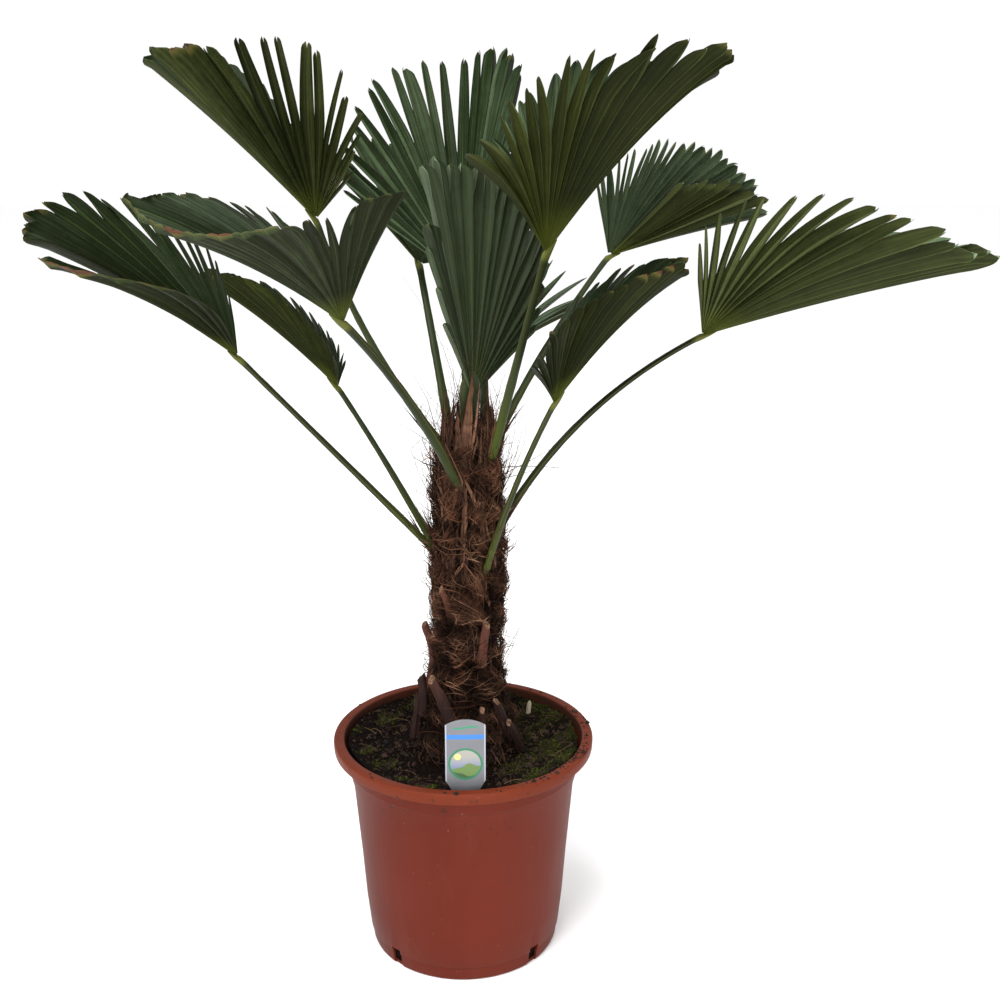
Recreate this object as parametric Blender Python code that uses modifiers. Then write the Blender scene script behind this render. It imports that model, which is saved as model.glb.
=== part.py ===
"""A potted wagner windmill palm, one solid for each sub-part, in metres with +Z up.

The origin is the centre of the pot's flat underside. The front, where the label
faces, is towards -Y.
"""

import math

import bmesh
import bpy
from mathutils import Matrix, Vector

# Pot
POT_HEIGHT = 0.275
RIM_RADIUS = 0.160
RIM_INNER_RADIUS = 0.1465
RIM_DEPTH = 0.0145
COLLAR_RADIUS = 0.1440
COLLAR_DEPTH = 0.0350
COLLAR_STEP = 0.0022
SIDE_OUTLINE = ((0.1366, 0.216), (0.1328, 0.170), (0.1284, 0.1175), (0.1243, 0.060), (0.1200, 0.020))
FOOT_STEP = 0.0012
FOOT_HEIGHT = 0.019
BASE_RADIUS = 0.1135
BASE_ROUNDING = 0.0035
EDGE_ROUNDING = 0.0015
WALL = 0.004
DRAIN_COUNT = 4
DRAIN_WIDTH = 0.012
DRAIN_HEIGHT = 0.020
DRAIN_DEPTH = 0.014
POT_STEPS = 64

# Clearance between touching solids
GAP = 0.0004

# Soil and label
SOIL_LEVEL = 0.254
SOIL_CROWN = 0.258
SOIL_CROWN_RADIUS = 0.075
SOIL_SLOPE_RADIUS = 0.115
SOIL_STEPS = 40
LABEL_WIDTH = 0.046
LABEL_TOP = 0.357
LABEL_SHOULDER = 0.350
LABEL_WAIST = 0.270
LABEL_STEM = 0.012
LABEL_THICKNESS = 0.0012
LABEL_SHAPE_STEP = 0.008
LABEL_ASIDE = 0.002
LABEL_FORWARD = 0.136

# Trunk
TRUNK_FOOT = (0.004, 0.0)
TRUNK_LEAN = 0.010
TRUNK_SIDES = 28
TRUNK_OUTLINE = (
    (SOIL_CROWN + GAP, 0.068),
    (0.285, 0.061),
    (0.310, 0.051),
    (0.340, 0.0445),
    (0.380, 0.0410),
    (0.450, 0.0400),
    (0.550, 0.0395),
    (0.610, 0.0370),
    (0.645, 0.0310),
    (0.664, 0.0210),
    (0.672, 0.0120),
)

# Fans
LEAFLETS = 17
BLADE_THICKNESS = 0.0034
HUB_RADIUS = 0.0082
KNUCKLE_RADIUS = 0.0076
PLEAT_SLOPE = 0.42
SPLIT_AT_KEEL = 0.72
SPLIT_FALL = 0.32
FREE_WIDTH = 0.66
TIP_SHOULDER = 0.985
TIP_WIDTH = 0.22
TIP_FOLD = 0.3
HUB_THICKNESS = 0.35
FREE_THICKNESS = 0.9
TIP_THICKNESS = 0.7

# Stalks
STALK_SPANS = 6
STALK_TAPER = 1.3
YOUNG_RISE = 0.004

# Stumps, stick and dry sheaths
STICK_PLACE = (0.084, 0.082)
STICK_REACH = (0.002, -0.001, 0.020)
STICK_RADIUS = 0.003
SHEATH_FOOT = 0.625
SHEATH_RADIUS = 0.0055
SHEATH_TIP_RADIUS = 0.0012
SHEATH_SPLAY = 0.010

# Colours
STALK_GREEN = (0.060, 0.105, 0.030)
BLADE_GREEN = (0.035, 0.060, 0.022)
TERRACOTTA = (0.22, 0.062, 0.040)
COMPOST = (0.018, 0.014, 0.010)
CARD = (0.62, 0.66, 0.70)
FIBRE = (0.055, 0.028, 0.017)
STUMP = (0.11, 0.045, 0.028)
PALE_STICK = (0.45, 0.38, 0.28)
DRY_SHEATH = (0.13, 0.065, 0.040)

COLLECTION = "potted_wagner_windmill_palm"


def clear_scene():
    for old in list(bpy.data.objects):
        bpy.data.objects.remove(old, do_unlink=True)


def new_collection(name, hidden=False):
    made = bpy.data.collections.new(name)
    bpy.context.scene.collection.children.link(made)
    made.hide_render = hidden
    return made


def paint(obj, colour, roughness, metallic=0.0):
    """Give the object its own Principled material."""
    material = bpy.data.materials.new(obj.name)
    material.use_nodes = True
    shader = material.node_tree.nodes["Principled BSDF"]
    shader.inputs["Base Color"].default_value = (*colour, 1.0)
    shader.inputs["Roughness"].default_value = roughness
    shader.inputs["Metallic"].default_value = metallic
    obj.data.materials.clear()
    obj.data.materials.append(material)


def mesh_object(name, bm, collection):
    mesh = bpy.data.meshes.new(name)
    bm.to_mesh(mesh)
    bm.free()
    obj = bpy.data.objects.new(name, mesh)
    collection.objects.link(obj)
    return obj


def turned(name, outline, steps, collection):
    """A body of revolution: outline is (radius, height) from top to bottom at +X."""
    bm = bmesh.new()
    points = [bm.verts.new((radius, 0.0, height)) for radius, height in outline]
    for upper, lower in zip(points, points[1:]):
        bm.edges.new((upper, lower))
    obj = mesh_object(name, bm, collection)
    screw = obj.modifiers.new("Turn", "SCREW")
    screw.steps = steps
    screw.render_steps = steps
    screw.use_merge_vertices = True
    screw.merge_threshold = 0.0001
    return obj


def pot_inner(height):
    """Inner radius of the pot's wall at a height."""
    stations = [(level, radius - WALL) for radius, level in reversed(SIDE_OUTLINE)]
    stations += [
        (POT_HEIGHT - COLLAR_DEPTH, COLLAR_RADIUS - WALL - COLLAR_STEP / 2),
        (POT_HEIGHT - RIM_DEPTH, RIM_INNER_RADIUS - EDGE_ROUNDING),
        (POT_HEIGHT, RIM_INNER_RADIUS),
    ]
    if height <= stations[0][0]:
        return stations[0][1]
    for (low, near), (high, far) in zip(stations, stations[1:]):
        if height <= high:
            return near + (far - near) * (height - low) / (high - low)
    return stations[-1][1]


def make_pot(parts, cutters):
    lip = POT_HEIGHT - RIM_DEPTH
    collar = POT_HEIGHT - COLLAR_DEPTH
    foot = SIDE_OUTLINE[-1][0]
    outer = [
        (RIM_RADIUS - EDGE_ROUNDING, POT_HEIGHT),
        (RIM_RADIUS, POT_HEIGHT - EDGE_ROUNDING),
        (RIM_RADIUS, lip + EDGE_ROUNDING),
        (RIM_RADIUS - EDGE_ROUNDING, lip),
        (COLLAR_RADIUS + COLLAR_STEP, lip),
        (COLLAR_RADIUS, collar + COLLAR_STEP),
        (COLLAR_RADIUS - COLLAR_STEP, collar),
        *SIDE_OUTLINE,
        (foot - FOOT_STEP, FOOT_HEIGHT),
        (BASE_RADIUS + BASE_ROUNDING, BASE_ROUNDING),
        (BASE_RADIUS, 0.0),
        (0.0, 0.0),
    ]
    inner = [(0.0, WALL), (BASE_RADIUS, WALL)]
    inner += [(pot_inner(level), level) for _, level in reversed(SIDE_OUTLINE)]
    inner += [(pot_inner(collar), collar), (pot_inner(lip), lip), (RIM_INNER_RADIUS, POT_HEIGHT)]
    pot = turned("pot", inner + outer, POT_STEPS, parts)
    paint(pot, TERRACOTTA, 0.42)
    for number in range(DRAIN_COUNT):
        turn = math.radians(45 + 360 / DRAIN_COUNT * number)
        bm = bmesh.new()
        bmesh.ops.create_cube(bm, size=1.0)
        size = Matrix.Diagonal((DRAIN_DEPTH, DRAIN_WIDTH, DRAIN_HEIGHT + EDGE_ROUNDING, 1.0))
        out = BASE_RADIUS + DRAIN_DEPTH / 2
        place = Matrix.Translation((out, 0.0, (DRAIN_HEIGHT - EDGE_ROUNDING) / 2))
        bm.transform(Matrix.Rotation(turn, 4, "Z") @ place @ size)
        cutter = mesh_object(f"drain_cutter_{number + 1}", bm, cutters)
        cutter.hide_render = True
        cutter.display_type = "WIRE"
        cut = pot.modifiers.new(f"Drain {number + 1}", "BOOLEAN")
        cut.operation = "DIFFERENCE"
        cut.solver = "EXACT"
        cut.object = cutter


def make_soil(parts):
    """The compost: it fills the pot, with a low crown round the trunk."""
    edge = pot_inner(SOIL_LEVEL) - GAP
    outline = [
        (0.0, SOIL_CROWN),
        (SOIL_CROWN_RADIUS, SOIL_CROWN),
        (SOIL_SLOPE_RADIUS, SOIL_LEVEL),
        (edge, SOIL_LEVEL),
    ]
    collar = POT_HEIGHT - COLLAR_DEPTH
    outline.append((pot_inner(collar) - 1.2 * GAP, collar))
    outline += [(radius - WALL - 1.2 * GAP, level) for radius, level in SIDE_OUTLINE]
    outline += [(BASE_RADIUS - GAP, WALL + GAP), (0.0, WALL + GAP)]
    soil = turned("soil", outline, SOIL_STEPS, parts)
    paint(soil, COMPOST, 0.95)


def make_label(parts):
    """An upright card with an arched top, on a narrow stem that stands on the soil."""
    half = LABEL_WIDTH / 2
    stem = LABEL_STEM / 2
    foot = SOIL_LEVEL + GAP
    sag = LABEL_TOP - LABEL_SHOULDER
    arch_radius = (half * half + sag * sag) / (2 * sag)
    centre = LABEL_TOP - arch_radius
    sweep = math.asin(half / arch_radius)
    arch = [sweep * (1 - step / 3) for step in range(7)]
    neck = LABEL_WAIST - LABEL_SHAPE_STEP
    points = [(stem, foot), (stem, neck), (half - LABEL_SHAPE_STEP, neck), (half, LABEL_WAIST)]
    points += [(arch_radius * math.sin(a), centre + arch_radius * math.cos(a)) for a in arch]
    points += [(-half, LABEL_WAIST), (LABEL_SHAPE_STEP - half, neck), (-stem, neck), (-stem, foot)]
    curve = bpy.data.curves.new("label", "CURVE")
    curve.dimensions = "2D"
    curve.fill_mode = "BOTH"
    curve.extrude = LABEL_THICKNESS / 2
    spline = curve.splines.new("POLY")
    spline.points.add(len(points) - 1)
    for point, (across, height) in zip(spline.points, points):
        point.co = (across, height, 0.0, 1.0)
    spline.use_cyclic_u = True
    label = bpy.data.objects.new("label", curve)
    label.location = (LABEL_ASIDE, -LABEL_FORWARD, 0.0)
    label.rotation_euler = (math.radians(90), 0.0, 0.0)
    parts.objects.link(label)
    paint(label, CARD, 0.35)


def trunk_radius(height):
    for (low, near), (high, far) in zip(TRUNK_OUTLINE, TRUNK_OUTLINE[1:]):
        if height <= high:
            return near + (far - near) * max(height - low, 0.0) / (high - low)
    return TRUNK_OUTLINE[-1][1]


def trunk_centre(height):
    rise = height - SOIL_CROWN
    return Vector((TRUNK_FOOT[0] + TRUNK_LEAN * rise, TRUNK_FOOT[1], height))


def make_trunk(parts):
    """A tapering, slightly leaning column with a root flare and a flat cut at the soil."""
    bm = bmesh.new()
    rings = []
    for height, radius in TRUNK_OUTLINE:
        centre = trunk_centre(height)
        ring = []
        for side in range(TRUNK_SIDES):
            turn = 2 * math.pi * side / TRUNK_SIDES
            ring.append(bm.verts.new(centre + radius * Vector((math.cos(turn), math.sin(turn), 0.0))))
        rings.append(ring)
    for lower, upper in zip(rings, rings[1:]):
        for side in range(TRUNK_SIDES):
            after = (side + 1) % TRUNK_SIDES
            bm.faces.new((lower[side], lower[after], upper[after], upper[side]))
    bm.faces.new(rings[0][::-1])
    bm.faces.new(rings[-1])
    trunk = mesh_object("trunk", bm, parts)
    paint(trunk, FIBRE, 0.95)


def limb(name, path, radii, parts, colour, roughness=0.6):
    """A tapering limb: a curve with a round bevel through the points of path."""
    curve = bpy.data.curves.new(name, "CURVE")
    curve.dimensions = "3D"
    curve.bevel_depth = 1.0
    curve.bevel_resolution = 2
    curve.use_fill_caps = True
    spline = curve.splines.new("POLY")
    spline.points.add(len(path) - 1)
    for point, place, radius in zip(spline.points, path, radii):
        point.co = (*place, 1.0)
        point.radius = radius
    obj = bpy.data.objects.new(name, curve)
    parts.objects.link(obj)
    paint(obj, colour, roughness)
    return obj


def on_trunk(azimuth, height, clear):
    """The point at this distance off the trunk's surface."""
    turn = math.radians(azimuth)
    away = trunk_radius(height) + clear
    return trunk_centre(height) + away * Vector((math.cos(turn), math.sin(turn), 0.0))


def off_trunk(point):
    """How far a point lies outside the trunk, measured level."""
    away = point - trunk_centre(point.z)
    return away.length - trunk_radius(point.z)


def seat(azimuth, height, aim, radius):
    """The foot of a round limb towards aim whose flat end just clears the trunk."""
    clear = radius
    for _ in range(4):
        foot = on_trunk(azimuth, height, clear)
        along = (aim - foot).normalized()
        side = along.orthogonal().normalized()
        up = along.cross(side)
        turns = [math.radians(30 * step) for step in range(12)]
        rim = [foot + radius * (math.cos(t) * side + math.sin(t) * up) for t in turns]
        clear += GAP - min(off_trunk(point) for point in rim)
    return foot


def stalk_path(foot, hub, bow):
    """Points from the foot towards the hub, bowed upwards by bow at the middle."""
    chord = hub - foot
    side = chord.cross(Vector((0, 0, 1))).normalized()
    lift = side.cross(chord).normalized()
    shares = [step / STALK_SPANS for step in range(STALK_SPANS)]
    return [foot + t * chord + bow * 4 * t * (1 - t) * lift for t in shares]


def petiole(number, hub, foot, bow, widths, parts):
    """A leaf stalk from its foot on the trunk to a rounded knuckle at the fan's hub."""
    azimuth, height = foot
    foot_radius, tip_radius = widths[0] / 2, widths[1] / 2
    aim = stalk_path(on_trunk(azimuth, height, foot_radius), hub, bow)[1]
    path = stalk_path(seat(azimuth, height, aim, foot_radius), hub, bow)
    radii = []
    for step in range(STALK_SPANS):
        share = min(1.0, STALK_TAPER * step / STALK_SPANS)
        radii.append(foot_radius + (tip_radius - foot_radius) * share)
    path, radii = with_knuckle(path, radii, hub, tip_radius)
    limb(f"petiole_{number:02d}", path, radii, parts, STALK_GREEN, 0.45)


def with_knuckle(path, radii, hub, tip_radius):
    """Add the rounded end that the fan's leaflets start around."""
    along = (hub - path[-1]).normalized()
    for back in (1.0, 0.55, 0.0, -0.55, -0.85):
        reach = KNUCKLE_RADIUS * back
        path.append(hub - reach * along)
        radii.append(max(math.sqrt(KNUCKLE_RADIUS**2 - reach**2), tip_radius if back > 0.9 else 0.0))
    return path, radii


def young_leaf(number, width, fan, parts):
    """The youngest leaf, whose short stalk stands on the trunk's top."""
    top = TRUNK_OUTLINE[-1][0] + GAP
    foot = Vector((trunk_centre(top).x, trunk_centre(top).y, top))
    rise = Vector((0.0, 0.0, YOUNG_RISE))
    path, radii = with_knuckle([foot, foot + rise], [width / 2, width / 2], fan.hub, width / 2)
    limb(f"petiole_{number:02d}", path, radii, parts, STALK_GREEN, 0.45)
    make_blade(number, fan, parts)


class Fan:
    """A fan's rule: rays from a hub, folded up from the keel, with a length for each ray.

    spread, cup and droop are pairs, for the half at positive angles and for the other.
    middle and side are the lengths halfway and at the end, as shares of the keel's.
    """

    def __init__(self, hub, aim, length, middle, side, spread, cup, turn_in, droop):
        turn, rise, twist = (math.radians(angle) for angle in aim)
        level = Vector((math.sin(turn), -math.cos(turn), 0.0))
        self.hub = Vector(hub)
        self.keel = Vector(
            (math.cos(turn) * math.cos(rise), math.sin(turn) * math.cos(rise), math.sin(rise))
        )
        self.across = math.cos(twist) * level + math.sin(twist) * level.cross(self.keel)
        self.opening = self.across.cross(self.keel)
        self.length, self.middle, self.side = length, middle, side
        self.spread, self.cup, self.turn_in, self.droop = spread, cup, turn_in, droop
        self.step = sum(spread) / LEAFLETS
        self.pleat = math.radians(self.step) / 4 * PLEAT_SLOPE

    def end_share(self, angle):
        """0 at the keel, 1 at the end of the half that the angle is in."""
        return min(abs(angle) / self.spread[0 if angle >= 0 else 1], 1.0)

    def ray(self, angle):
        shut = math.sin(min(abs(angle) / self.turn_in, 1.0) * math.pi / 2)
        fold = math.radians(self.cup[0 if angle >= 0 else 1]) * shut
        turn = math.radians(angle)
        level = math.sin(turn) * math.cos(fold) * self.across
        rise = abs(math.sin(turn)) * math.sin(fold) * self.opening
        return math.cos(turn) * self.keel + level + rise

    def normal(self, angle):
        along = self.ray(angle + 1.0) - self.ray(angle - 1.0)
        return along.cross(self.ray(angle)).normalized()

    def reach(self, angle):
        share = self.end_share(angle)
        bend = 2 * (1 + self.side - 2 * self.middle)
        return self.length * (1 + (self.side - 1 - bend) * share + bend * share * share)

    def split(self, angle):
        """The share of a leaflet's length that is joined to its neighbours."""
        return SPLIT_AT_KEEL - SPLIT_FALL * self.end_share(angle)

    def place(self, angle, share, offset, fold):
        """A point of the leaflet at angle, at a share of its length, turned by offset.

        fold is 1 on a ridge of the pleats and -1 in a valley.
        """
        whole = self.reach(angle)
        radius = HUB_RADIUS + share * (whole - HUB_RADIUS)
        sag = self.droop[0 if angle >= 0 else 1] * share * share * whole
        lift = fold * self.pleat * radius * self.normal(angle + offset)
        return self.hub + radius * self.ray(angle + offset) + lift - Vector((0.0, 0.0, sag))


def fan_ridges(fan, vertex):
    """For each line between leaflets, the points they share: at the hub and at the split."""
    ridges = []
    for index in range(LEAFLETS + 1):
        angle = -fan.spread[1] + fan.step * index
        near = vertex(fan.place(angle, 0.0, 0.0, 1.0), HUB_THICKNESS)
        far = vertex(fan.place(angle, fan.split(angle), 0.0, 1.0), 1.0)
        ridges.append((near, far))
    return ridges


def leaflet(fan, angle, ridges, vertex, bm):
    """One V-folded leaflet: its rib, and its two edges from the hub to the blunt tip."""
    split = fan.split(angle)
    free = (1 + split) / 2
    rib = []
    for share, fold, weight in (
        (0.0, -1.0, HUB_THICKNESS),
        (split, -1.0, 1.0),
        (free, -1.0, FREE_THICKNESS),
        (1.0, -TIP_FOLD, TIP_THICKNESS),
    ):
        rib.append(vertex(fan.place(angle, share, 0.0, fold), weight))
    for hand, (near, far) in zip((-1, 1), ridges):
        edge = [near, far]
        for share, width, weight in (
            (free, FREE_WIDTH, FREE_THICKNESS),
            (TIP_SHOULDER, TIP_WIDTH, TIP_THICKNESS),
        ):
            offset = hand * fan.step / 2 * width
            edge.append(vertex(fan.place(angle, share, offset, width), weight))
        for (a, b), (c, d) in zip(zip(rib, rib[1:]), zip(edge, edge[1:])):
            bm.faces.new((a, b, d, c) if hand > 0 else (a, c, d, b))


def make_blade(number, fan, parts):
    """A fan's blade: leaflets joined near the hub and free beyond the split."""
    bm = bmesh.new()
    thickness = []

    def vertex(where, weight):
        thickness.append(weight)
        return bm.verts.new(where)

    ridges = fan_ridges(fan, vertex)
    for index in range(LEAFLETS):
        angle = -fan.spread[1] + fan.step * (index + 0.5)
        leaflet(fan, angle, ridges[index : index + 2], vertex, bm)
    blade = mesh_object(f"frond_{number:02d}", bm, parts)
    group = blade.vertex_groups.new(name="thickness")
    for index, weight in enumerate(thickness):
        group.add([index], weight, "REPLACE")
    solid = blade.modifiers.new("Thickness", "SOLIDIFY")
    solid.thickness = BLADE_THICKNESS
    solid.offset = 0.0
    solid.vertex_group = group.name
    solid.thickness_vertex_group = 0.0
    solid.use_even_offset = False
    paint(blade, BLADE_GREEN, 0.5)


def leaf(number, foot, bow, widths, fan, parts):
    """A stalk, from its foot's azimuth and height on the trunk, and the fan on its tip."""
    petiole(number, fan.hub, foot, bow, widths, parts)
    make_blade(number, fan, parts)


def make_leaves(parts):
    """The twelve leaves, from the upper left round to the right."""
    fan = Fan(
        hub=(-0.170, 0.116, 0.890), aim=(211, 47, 28), length=0.286, middle=0.86, side=0.25,
        spread=(72, 71), cup=(17, 65), turn_in=49, droop=(0.10, 0.03),
    )
    leaf(1, (158, 0.640), -0.018, (0.013, 0.009), fan, parts)
    fan = Fan(
        hub=(-0.249, -0.023, 0.751), aim=(237, 36, 10), length=0.334, middle=0.74, side=0.25,
        spread=(79, 25), cup=(55, 95), turn_in=74, droop=(0.12, 0.18),
    )
    leaf(2, (183, 0.515), 0.000, (0.014, 0.010), fan, parts)
    fan = Fan(
        hub=(-0.121, -0.132, 0.807), aim=(208, 40, 30), length=0.297, middle=0.74, side=0.73,
        spread=(80, 64), cup=(4, 95), turn_in=90, droop=(0.21, 0.18),
    )
    leaf(3, (252, 0.605), 0.010, (0.017, 0.013), fan, parts)
    fan = Fan(
        hub=(-0.153, 0.137, 0.682), aim=(167, 47, -26), length=0.257, middle=0.71, side=0.31,
        spread=(70, 66), cup=(34, 20), turn_in=29, droop=(0.15, 0.19),
    )
    leaf(4, (148, 0.500), 0.004, (0.011, 0.008), fan, parts)
    fan = Fan(
        hub=(-0.050, 0.170, 0.830), aim=(111, 28, -7), length=0.320, middle=0.83, side=0.57,
        spread=(90, 62), cup=(14, 40), turn_in=39, droop=(0.02, 0.12),
    )
    leaf(5, (120, 0.630), 0.000, (0.012, 0.009), fan, parts)
    fan = Fan(
        hub=(0.004, 0.130, 0.814), aim=(55, 74, 36), length=0.314, middle=0.83, side=0.60,
        spread=(34, 64), cup=(-14, 89), turn_in=33, droop=(0.08, 0.07),
    )
    leaf(6, (90, 0.640), 0.000, (0.011, 0.009), fan, parts)
    fan = Fan(
        hub=(0.014, -0.014, 0.702), aim=(108, 80, -26), length=0.276, middle=0.99, side=0.70,
        spread=(56, 32), cup=(-4, 32), turn_in=84, droop=(0.06, 0.06),
    )
    young_leaf(7, 0.008, fan, parts)
    fan = Fan(
        hub=(0.091, -0.096, 0.874), aim=(6, 57, -9), length=0.348, middle=0.94, side=0.80,
        spread=(73, 52), cup=(53, 58), turn_in=50, droop=(0.24, 0.31),
    )
    leaf(8, (-38, 0.630), 0.000, (0.014, 0.010), fan, parts)
    fan = Fan(
        hub=(0.187, 0.186, 0.837), aim=(29, 12, -20), length=0.274, middle=0.64, side=0.45,
        spread=(40, 101), cup=(80, 84), turn_in=14, droop=(-0.02, 0.06),
    )
    leaf(9, (38, 0.630), 0.010, (0.012, 0.009), fan, parts)
    fan = Fan(
        hub=(0.272, -0.024, 0.773), aim=(-32, 25, 25), length=0.327, middle=0.89, side=0.41,
        spread=(63, 72), cup=(32, 53), turn_in=72, droop=(0.11, 0.08),
    )
    leaf(10, (0, 0.545), 0.024, (0.015, 0.010), fan, parts)
    fan = Fan(
        hub=(0.104, -0.060, 0.704), aim=(-16, 57, -16), length=0.267, middle=0.86, side=0.59,
        spread=(62, 59), cup=(37, 18), turn_in=43, droop=(0.18, 0.25),
    )
    leaf(11, (-58, 0.500), 0.005, (0.013, 0.010), fan, parts)
    fan = Fan(
        hub=(0.030, 0.115, 0.719), aim=(58, 17, -8), length=0.290, middle=0.88, side=0.56,
        spread=(44, 60), cup=(36, 36), turn_in=36, droop=(0.11, 0.04),
    )
    leaf(12, (68, 0.560), 0.000, (0.010, 0.008), fan, parts)


def stub(number, foot_azimuth, tip_azimuth, low, high, splay, width, parts):
    """The stump of a cut leaf stalk on the trunk's side."""
    radius = width / 2
    path = []
    for share in (0.0, 0.5, 1.0):
        height = low + share * (high - low)
        azimuth = foot_azimuth + share * (tip_azimuth - foot_azimuth)
        clear = radius + GAP + splay * share * share
        path.append(on_trunk(azimuth, height, clear))
    limb(f"stub_{number:02d}", path, (radius, radius, radius * 0.8), parts, STUMP, 0.6)


def make_stubs(parts):
    """Nine stumps of old leaf stalks low on the trunk, and a pale stick in the soil."""
    stub(1, 207, 212, 0.372, 0.431, 0.010, 0.009, parts)
    stub(2, 200, 206, 0.322, 0.364, 0.012, 0.010, parts)
    stub(3, 221, 220, 0.300, 0.347, 0.016, 0.010, parts)
    stub(4, 262, 240, 0.322, 0.368, 0.012, 0.012, parts)
    stub(5, -58, -54, 0.384, 0.434, 0.006, 0.010, parts)
    stub(6, 238, 240, 0.452, 0.478, 0.005, 0.008, parts)
    stub(7, -47, -55, 0.312, 0.342, 0.010, 0.010, parts)
    stub(8, -76, -74, 0.300, 0.332, 0.012, 0.009, parts)
    stub(9, -30, -38, 0.288, 0.314, 0.014, 0.009, parts)
    foot = Vector((*STICK_PLACE, SOIL_LEVEL + GAP))
    tip = foot + Vector(STICK_REACH)
    limb("stub_10", (foot, foot.lerp(tip, 0.5), tip), [STICK_RADIUS] * 3, parts, PALE_STICK)


def make_sheaths(parts):
    """Dry, pointed remains of leaf sheaths at the trunk's top."""
    for number, azimuth, tip_height in ((1, -6, 0.700), (2, 282, 0.712)):
        foot = on_trunk(azimuth, SHEATH_FOOT, SHEATH_RADIUS + 1.5 * GAP)
        tip = on_trunk(azimuth, SHEATH_FOOT, SHEATH_SPLAY)
        tip.z = tip_height
        path = (foot, foot.lerp(tip, 0.5), tip)
        radii = (SHEATH_RADIUS, SHEATH_RADIUS, SHEATH_TIP_RADIUS)
        limb(f"sheath_{number:02d}", path, radii, parts, DRY_SHEATH, 0.9)


def main():
    clear_scene()
    parts = new_collection(COLLECTION)
    cutters = new_collection("cutters", hidden=True)
    make_pot(parts, cutters)
    make_soil(parts)
    make_label(parts)
    make_trunk(parts)
    make_leaves(parts)
    make_stubs(parts)
    make_sheaths(parts)


main()
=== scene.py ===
"""The potted wagner windmill palm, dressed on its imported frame: metres, +Z up."""

import math

import bpy
import numpy as np
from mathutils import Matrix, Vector


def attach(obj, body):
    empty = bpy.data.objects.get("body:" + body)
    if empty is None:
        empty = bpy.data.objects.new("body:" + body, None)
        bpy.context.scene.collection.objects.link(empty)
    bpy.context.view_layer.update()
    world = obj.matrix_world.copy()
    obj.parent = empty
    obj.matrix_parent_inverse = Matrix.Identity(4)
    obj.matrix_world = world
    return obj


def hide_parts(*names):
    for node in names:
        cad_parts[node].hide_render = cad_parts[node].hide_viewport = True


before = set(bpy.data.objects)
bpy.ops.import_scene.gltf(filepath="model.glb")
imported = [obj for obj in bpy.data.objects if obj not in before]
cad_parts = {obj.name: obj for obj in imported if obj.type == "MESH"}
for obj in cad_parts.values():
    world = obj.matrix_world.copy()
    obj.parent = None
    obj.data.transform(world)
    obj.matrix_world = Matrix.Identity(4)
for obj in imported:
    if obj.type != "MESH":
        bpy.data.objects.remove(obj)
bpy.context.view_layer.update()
BODY = "root"
rng = np.random.default_rng(11)

# Camera, in the part's frame
CAMERA_PLACE = (0.0, -1.566, 1.046)
CAMERA_PITCH_DOWN = 16.74
CAMERA_YAW = 1.657
CAMERA_LENS = 50.0

# Pot, as in the part: outline points are (radius, height)
POT_HEIGHT = 0.275
RIM_RADIUS = 0.160
RIM_INNER_RADIUS = 0.1465
RIM_DEPTH = 0.0145
COLLAR_RADIUS = 0.1440
COLLAR_DEPTH = 0.0350
COLLAR_STEP = 0.0022
SIDE_OUTLINE = ((0.1366, 0.216), (0.1328, 0.170), (0.1284, 0.1175), (0.1243, 0.060), (0.1200, 0.020))
BASE_RADIUS = 0.1135
WALL = 0.004
DRAIN_WIDTH = 0.014
DRAIN_HEIGHT = 0.025
POT_STEPS = 192

# Soil and label
SOIL_LEVEL = 0.254
SOIL_EDGE = 0.1415
LABEL_WIDTH = 0.046
LABEL_TOP = 0.357
LABEL_SHOULDER = 0.350
LABEL_WAIST = 0.281
LABEL_CHAMFER = 0.013
LABEL_STEM = 0.012
LABEL_THICKNESS = 0.0012
LABEL_ASIDE = 0.002
LABEL_FORWARD = 0.136

# Trunk
TRUNK_AXIS = 0.004
TRUNK_LEAN = 0.010
TRUNK_HEIGHTS = (0.258, 0.285, 0.310, 0.340, 0.380, 0.450, 0.550, 0.610, 0.645, 0.664, 0.700)
TRUNK_RADII = (0.068, 0.061, 0.051, 0.0445, 0.041, 0.040, 0.0395, 0.037, 0.031, 0.021, 0.010)
TRUNK_FOOT = 0.2585
TRUNK_TOP = 0.672

# Fans
LEAFLET_ANGLE = 4.3
HUB_RADIUS = 0.0050
PLEAT_SLOPE = 1.25
BLADE_THICKNESS = 0.0008


class Value:
    """A node's output that takes part in Python arithmetic."""

    def __init__(self, tree, socket):
        self.tree = tree
        self.socket = socket

    def other(self, name):
        """Another output of the same node."""
        return Value(self.tree, find(self.socket.node.outputs, name))

    def __add__(self, other):
        return self.tree.math("ADD", self, other)

    __radd__ = __add__

    def __mul__(self, other):
        return self.tree.math("MULTIPLY", self, other)

    __rmul__ = __mul__

    def __sub__(self, other):
        return self.tree.math("SUBTRACT", self, other)

    def __rsub__(self, other):
        return self.tree.math("SUBTRACT", other, self)

    def __pow__(self, other):
        return self.tree.math("POWER", self, other)

    def __abs__(self):
        return self.tree.math("ABSOLUTE", self)

    def sine(self):
        return self.tree.math("SINE", self)

    def clamped(self):
        return self.tree.node("ShaderNodeClamp", {}, {"Value": self})

    def step(self, low, high):
        """0 below low, 1 above high, and smooth between."""
        settings = {"interpolation_type": "SMOOTHSTEP"}
        return self.tree.node(
            "ShaderNodeMapRange", settings, {"Value": self, "From Min": low, "From Max": high}
        )

    def between(self, low, high, soft):
        """1 from low to high, falling to 0 over soft on each side."""
        return self.step(low - soft, low) * (1.0 - self.step(high, high + soft))


def find(sockets, key):
    """A socket by its place, or the first one in use that has the name."""
    if isinstance(key, int):
        return sockets[key]
    return next(socket for socket in sockets if socket.name == key and socket.enabled)


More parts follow.
